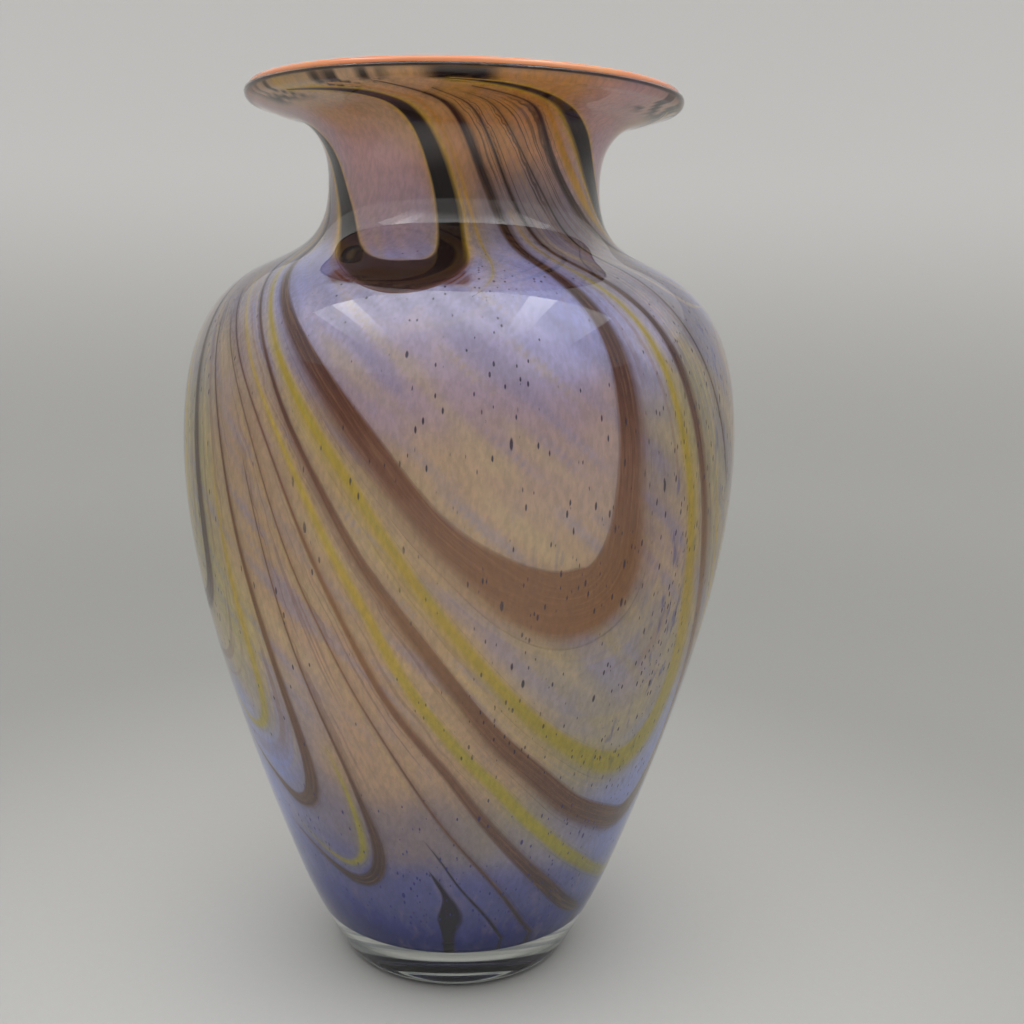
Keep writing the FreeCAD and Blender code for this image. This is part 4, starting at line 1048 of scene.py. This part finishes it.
def trail_piece(name, flow, material):
    """One drawn thread of glass: slightly domed, closed, its underside sunk in the ground."""
    angle, run, half, left, radius = stroke_line(TRAILS[name].stroke, TRAIL_SPACING)
    rows, ring = len(run), len(TRAIL_RING)
    half = (half * end_taper(run))[:, None]
    across = half * TRAIL_RING
    all_angle = (angle[:, None] + np.degrees(left[:, :1] * across / radius[:, None])).ravel()
    all_run = np.clip((run[:, None] + left[:, 1:] * across).ravel(), RUN_START, RUN_END - 0.05)
    points = place(all_angle, all_run, np.tile(TRAIL_DEPTHS, rows))
    piece = mesh_object("trail_" + name, points, ring_faces(rows, ring, "capped"), material)
    marks = Marks(all_angle, all_run)
    marks.lay(name, (half * (1 - np.abs(TRAIL_RING))).ravel(), across.ravel())
    marks.write(piece, flow)
    set_attribute(piece, "across", across.ravel())
    set_attribute(piece, "along", np.repeat(np.arange(rows) * TRAIL_SPACING, ring))
    return piece


# ---- Casing, lining and lip wrap ----

CASING_SIDES = 256
LINING_SIDES = 220
WOBBLE = 0.05             # mm for each unit of the waves below, which add up to 2.1 at most
SEED_BUBBLES = 24         # placed at random, besides the two that can be seen at the front


def casing_wobble(turn, height):
    """The slight unevenness of glass shaped by hand, never outside the true form."""
    wave = (np.sin(2 * turn + 0.6) + 0.6 * np.sin(3 * turn + height / 47 + 2.1)
            + 0.5 * np.sin(5 * turn - height / 31))
    away_from_foot = np.clip((height - 20) / 40, 0, 1)
    return -WOBBLE * (2.1 - wave) * away_from_foot


def casing_profile():
    """From the middle of the pontil hollow, up the outside, over the rim and down to the floor."""
    bow = (PONTIL_RADIUS ** 2 + PONTIL_DEPTH ** 2) / (2 * PONTIL_DEPTH)
    half = math.degrees(math.asin(PONTIL_RADIUS / bow))
    pontil = arc((0, PONTIL_DEPTH - bow), bow, 90 - 0.1, 90 - half, 12)
    ring = np.linspace((PONTIL_RADIUS, 0), (FOOT_FLAT, 0), 6)[1:-1]
    side = wall(np.linspace(2 * RUN_START, RUN_END, 44, endpoint=False), -CASING)
    curve = Curve(np.concatenate((FOOT_OUTSIDE, side, [(RIM_CENTRE, RIM_HEIGHT - RIM_EDGE)])))
    outside, _ = curve.at(np.linspace(0, curve.end, 190))
    shoulder = math.degrees(math.asin((LIP_TOP - RIM_HEIGHT) / RIM_EDGE))
    rim = arc((RIM_CENTRE, RIM_HEIGHT), RIM_EDGE, -90, shoulder, 9)[1:]
    inside = layer_points(CASING_DEPTH)[::-1]
    seat = np.linspace(rim[-1], (inside[0][0], LIP_TOP), 4)[1:-1]
    return np.concatenate((pontil, ring, outside, rim, seat, inside))


def seed_bubble(centre, radius, tall):
    """A small cavity: a sphere with its faces turned inwards, drawn out upwards."""
    rings, sides = 7, 10
    polar = np.radians(np.linspace(4, 176, rings))[:, None]
    turn = np.radians(np.arange(sides) * 360.0 / sides)
    points = np.stack((np.sin(polar) * np.cos(turn), np.sin(polar) * np.sin(turn),
                       tall * np.cos(polar) * np.ones(sides)), -1).reshape(-1, 3)
    return (centre + points * radius * MM,
            [face[::-1] for face in ring_faces(rings, sides, "capped")])


def casing_piece(material):
    """The clear casing, with a few seed bubbles in its glass."""
    points, faces = turned(casing_profile(), CASING_SIDES, "capped", casing_wobble)
    points = points.tolist()
    rng = np.random.default_rng(11)
    angles, runs = rng.uniform(0, 360, SEED_BUBBLES), rng.uniform(30, 300, SEED_BUBBLES)
    for angle, run in [(4, 209), (45, 245), *zip(angles, runs)]:
        radius = rng.uniform(0.22, 0.5)
        centre = place(angle, run, -rng.uniform(0.9, 2.0))[0]
        bubble, bubble_faces = seed_bubble(centre, radius, rng.uniform(1.1, 1.9))
        faces += [[index + len(points) for index in face] for face in bubble_faces]
        points += bubble.tolist()
    return mesh_object("casing", points, faces, material)


def lining_piece(material):
    """The inner gather: a closed-bottomed shell."""
    profile = np.concatenate((layer_points(LINING_FRONT), layer_points(LINING_BACK)[::-1]))
    return mesh_object("lining", *turned(profile, LINING_SIDES, "joined"), material)


def wrap_piece(material):
    """Orange ring on the lip: a seat, a rolled outer edge, and a crown that falls inwards."""
    crown = np.array((RIM_CENTRE, HEIGHT - 0.02))
    outer = np.array((WRAP_RADIUS, LIP_TOP))
    inner, low = wall(RUN_END, LINING_BACK)[0], wall(RUN_END, 0)[0]
    seat = low + (inner - low) * (LIP_TOP - low[1]) / (inner[1] - low[1])
    curve = Curve([outer, (WRAP_RADIUS - 0.12, LIP_TOP + 1.0), (WRAP_RADIUS - 0.55, HEIGHT - 0.45),
                   crown, (crown + inner) / 2 + (0, 0.12), inner])
    top, _ = curve.at(np.linspace(0, curve.end, 22))
    profile = np.concatenate((top, np.linspace(seat, outer, 5)[:-1]))
    return mesh_object("lip_wrap", *turned(profile, CASING_SIDES, "joined"), material)


# ---- Stage, lights and camera ----

FLOOR_REACH = 900
SWEEP_RADIUS = 1100


def backdrop(material):
    """Pale floor that sweeps up all round into a low wall."""
    flat = np.linspace((1, 0), (FLOOR_REACH, 0), 12)
    sweep = arc((FLOOR_REACH, SWEEP_RADIUS), SWEEP_RADIUS, -90, 0, 24)[1:]
    profile = np.concatenate((flat, sweep))
    floor = mesh_object("backdrop", *turned(profile, 96, "open"), material)


def panel(name, centre, size, radiance, fade, facing=0.0):
    """Rectangular lamp of a radiance, that fades in over a share of its length.

    It faces down unless it is turned.
    """
    light = bpy.data.lights.new(name, "AREA")
    light.shape = "RECTANGLE"
    light.size, light.size_y = size
    light.energy = radiance * math.pi * size[0] * size[1] * math.pi / 4
    nodes = Nodes(light, "Emission")
    length = nodes.add("SeparateXYZ", {0: nodes.add("NewGeometry")["Parametric"]})["Y"]
    lamp = add_object(name, nodes.finish(Strength=nodes.ramp(length, 0.0, fade)))
    lamp.location = centre
    lamp.rotation_euler = (facing, 0, 0)


def studio_light():
    """Light tent: pale all round, a ceiling panel, two strips, and a low glow in front."""
    world = Nodes(bpy.data.worlds.new("studio"), "Background")
    bpy.context.scene.world = world.finish(Color=(1.0, 0.985, 0.96, 1), Strength=0.85)
    panel("ceiling", (0, -0.275, 0.66), (0.85, 0.47), 2.4, 0.62)
    for side in (-0.29, 0.17):
        panel(f"strip_{side}", (side, -0.255, 0.655), (0.07, 0.43), 4.4, 1.0)
    panel("table_glow", (0, -0.62, 0.004), (1.1, 0.7), 0.25, 0.6, math.pi)


CAMERA_PLACE = (0, -0.4398, 0.2569)
CAMERA_TURNS = (11.16, 2.51, 1.18)      # degrees down, to the right and tilted
CAMERA_LENS, CAMERA_SENSOR = 41.86, 36.0


def camera():
    """Camera a little above the shoulder, turned to the vase as a visitor would hold a phone."""
    pitch, yaw, roll = (math.radians(turn) for turn in CAMERA_TURNS)
    ahead = Vector((math.sin(yaw) * math.cos(pitch), math.cos(yaw) * math.cos(pitch),
                    -math.sin(pitch)))
    level = Vector((math.cos(yaw), -math.sin(yaw), 0))
    above = level.cross(ahead)
    right = math.cos(roll) * level + math.sin(roll) * above
    up = math.cos(roll) * above - math.sin(roll) * level
    view = add_object("camera", bpy.data.cameras.new("camera"))
    view.data.lens, view.data.sensor_width = CAMERA_LENS, CAMERA_SENSOR
    view.matrix_world = Matrix.Translation(CAMERA_PLACE) @ Matrix(
        (right, up, -ahead)).transposed().to_4x4()
    bpy.context.scene.camera = view


def carry(piece, node):
    """Hides the CAD node that a visual piece stands for, and attaches the piece to the root body."""
    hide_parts(node)
    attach(piece, "root")


def main():
    camera()
    studio_light()
    backdrop(backdrop_paper())
    bpy.context.scene.view_settings.view_transform = "Standard"

    flow = flow_field()
    frit = coloured_glass("frit_glass", cased(120, 100, 90), 0.0)
    trail_glass = {
        "brown": coloured_glass("brown_glass", cased(136, 99, 68), 0.28),
        "yellow": coloured_glass("yellow_glass", cased(122, 122, 62), 0.45),
        "aubergine": coloured_glass("aubergine_glass", cased(50, 26, 22), 0.30),
    }
    carry(ground_piece(flow, frit), "colour_frit_layer")
    for name in TRAILS:
        glass = glass_of(name)
        carry(trail_piece(name, flow, trail_glass[glass]), name)
    orange = orange_glass()
    carry(casing_piece(clear_glass()), "clear_casing")
    carry(lining_piece(orange), "orange_lining")
    carry(wrap_piece(orange), "orange_lip_wrap")
    opal = opal_glass()
    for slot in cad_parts["opal_ground"].material_slots:
        slot.material = opal


main()
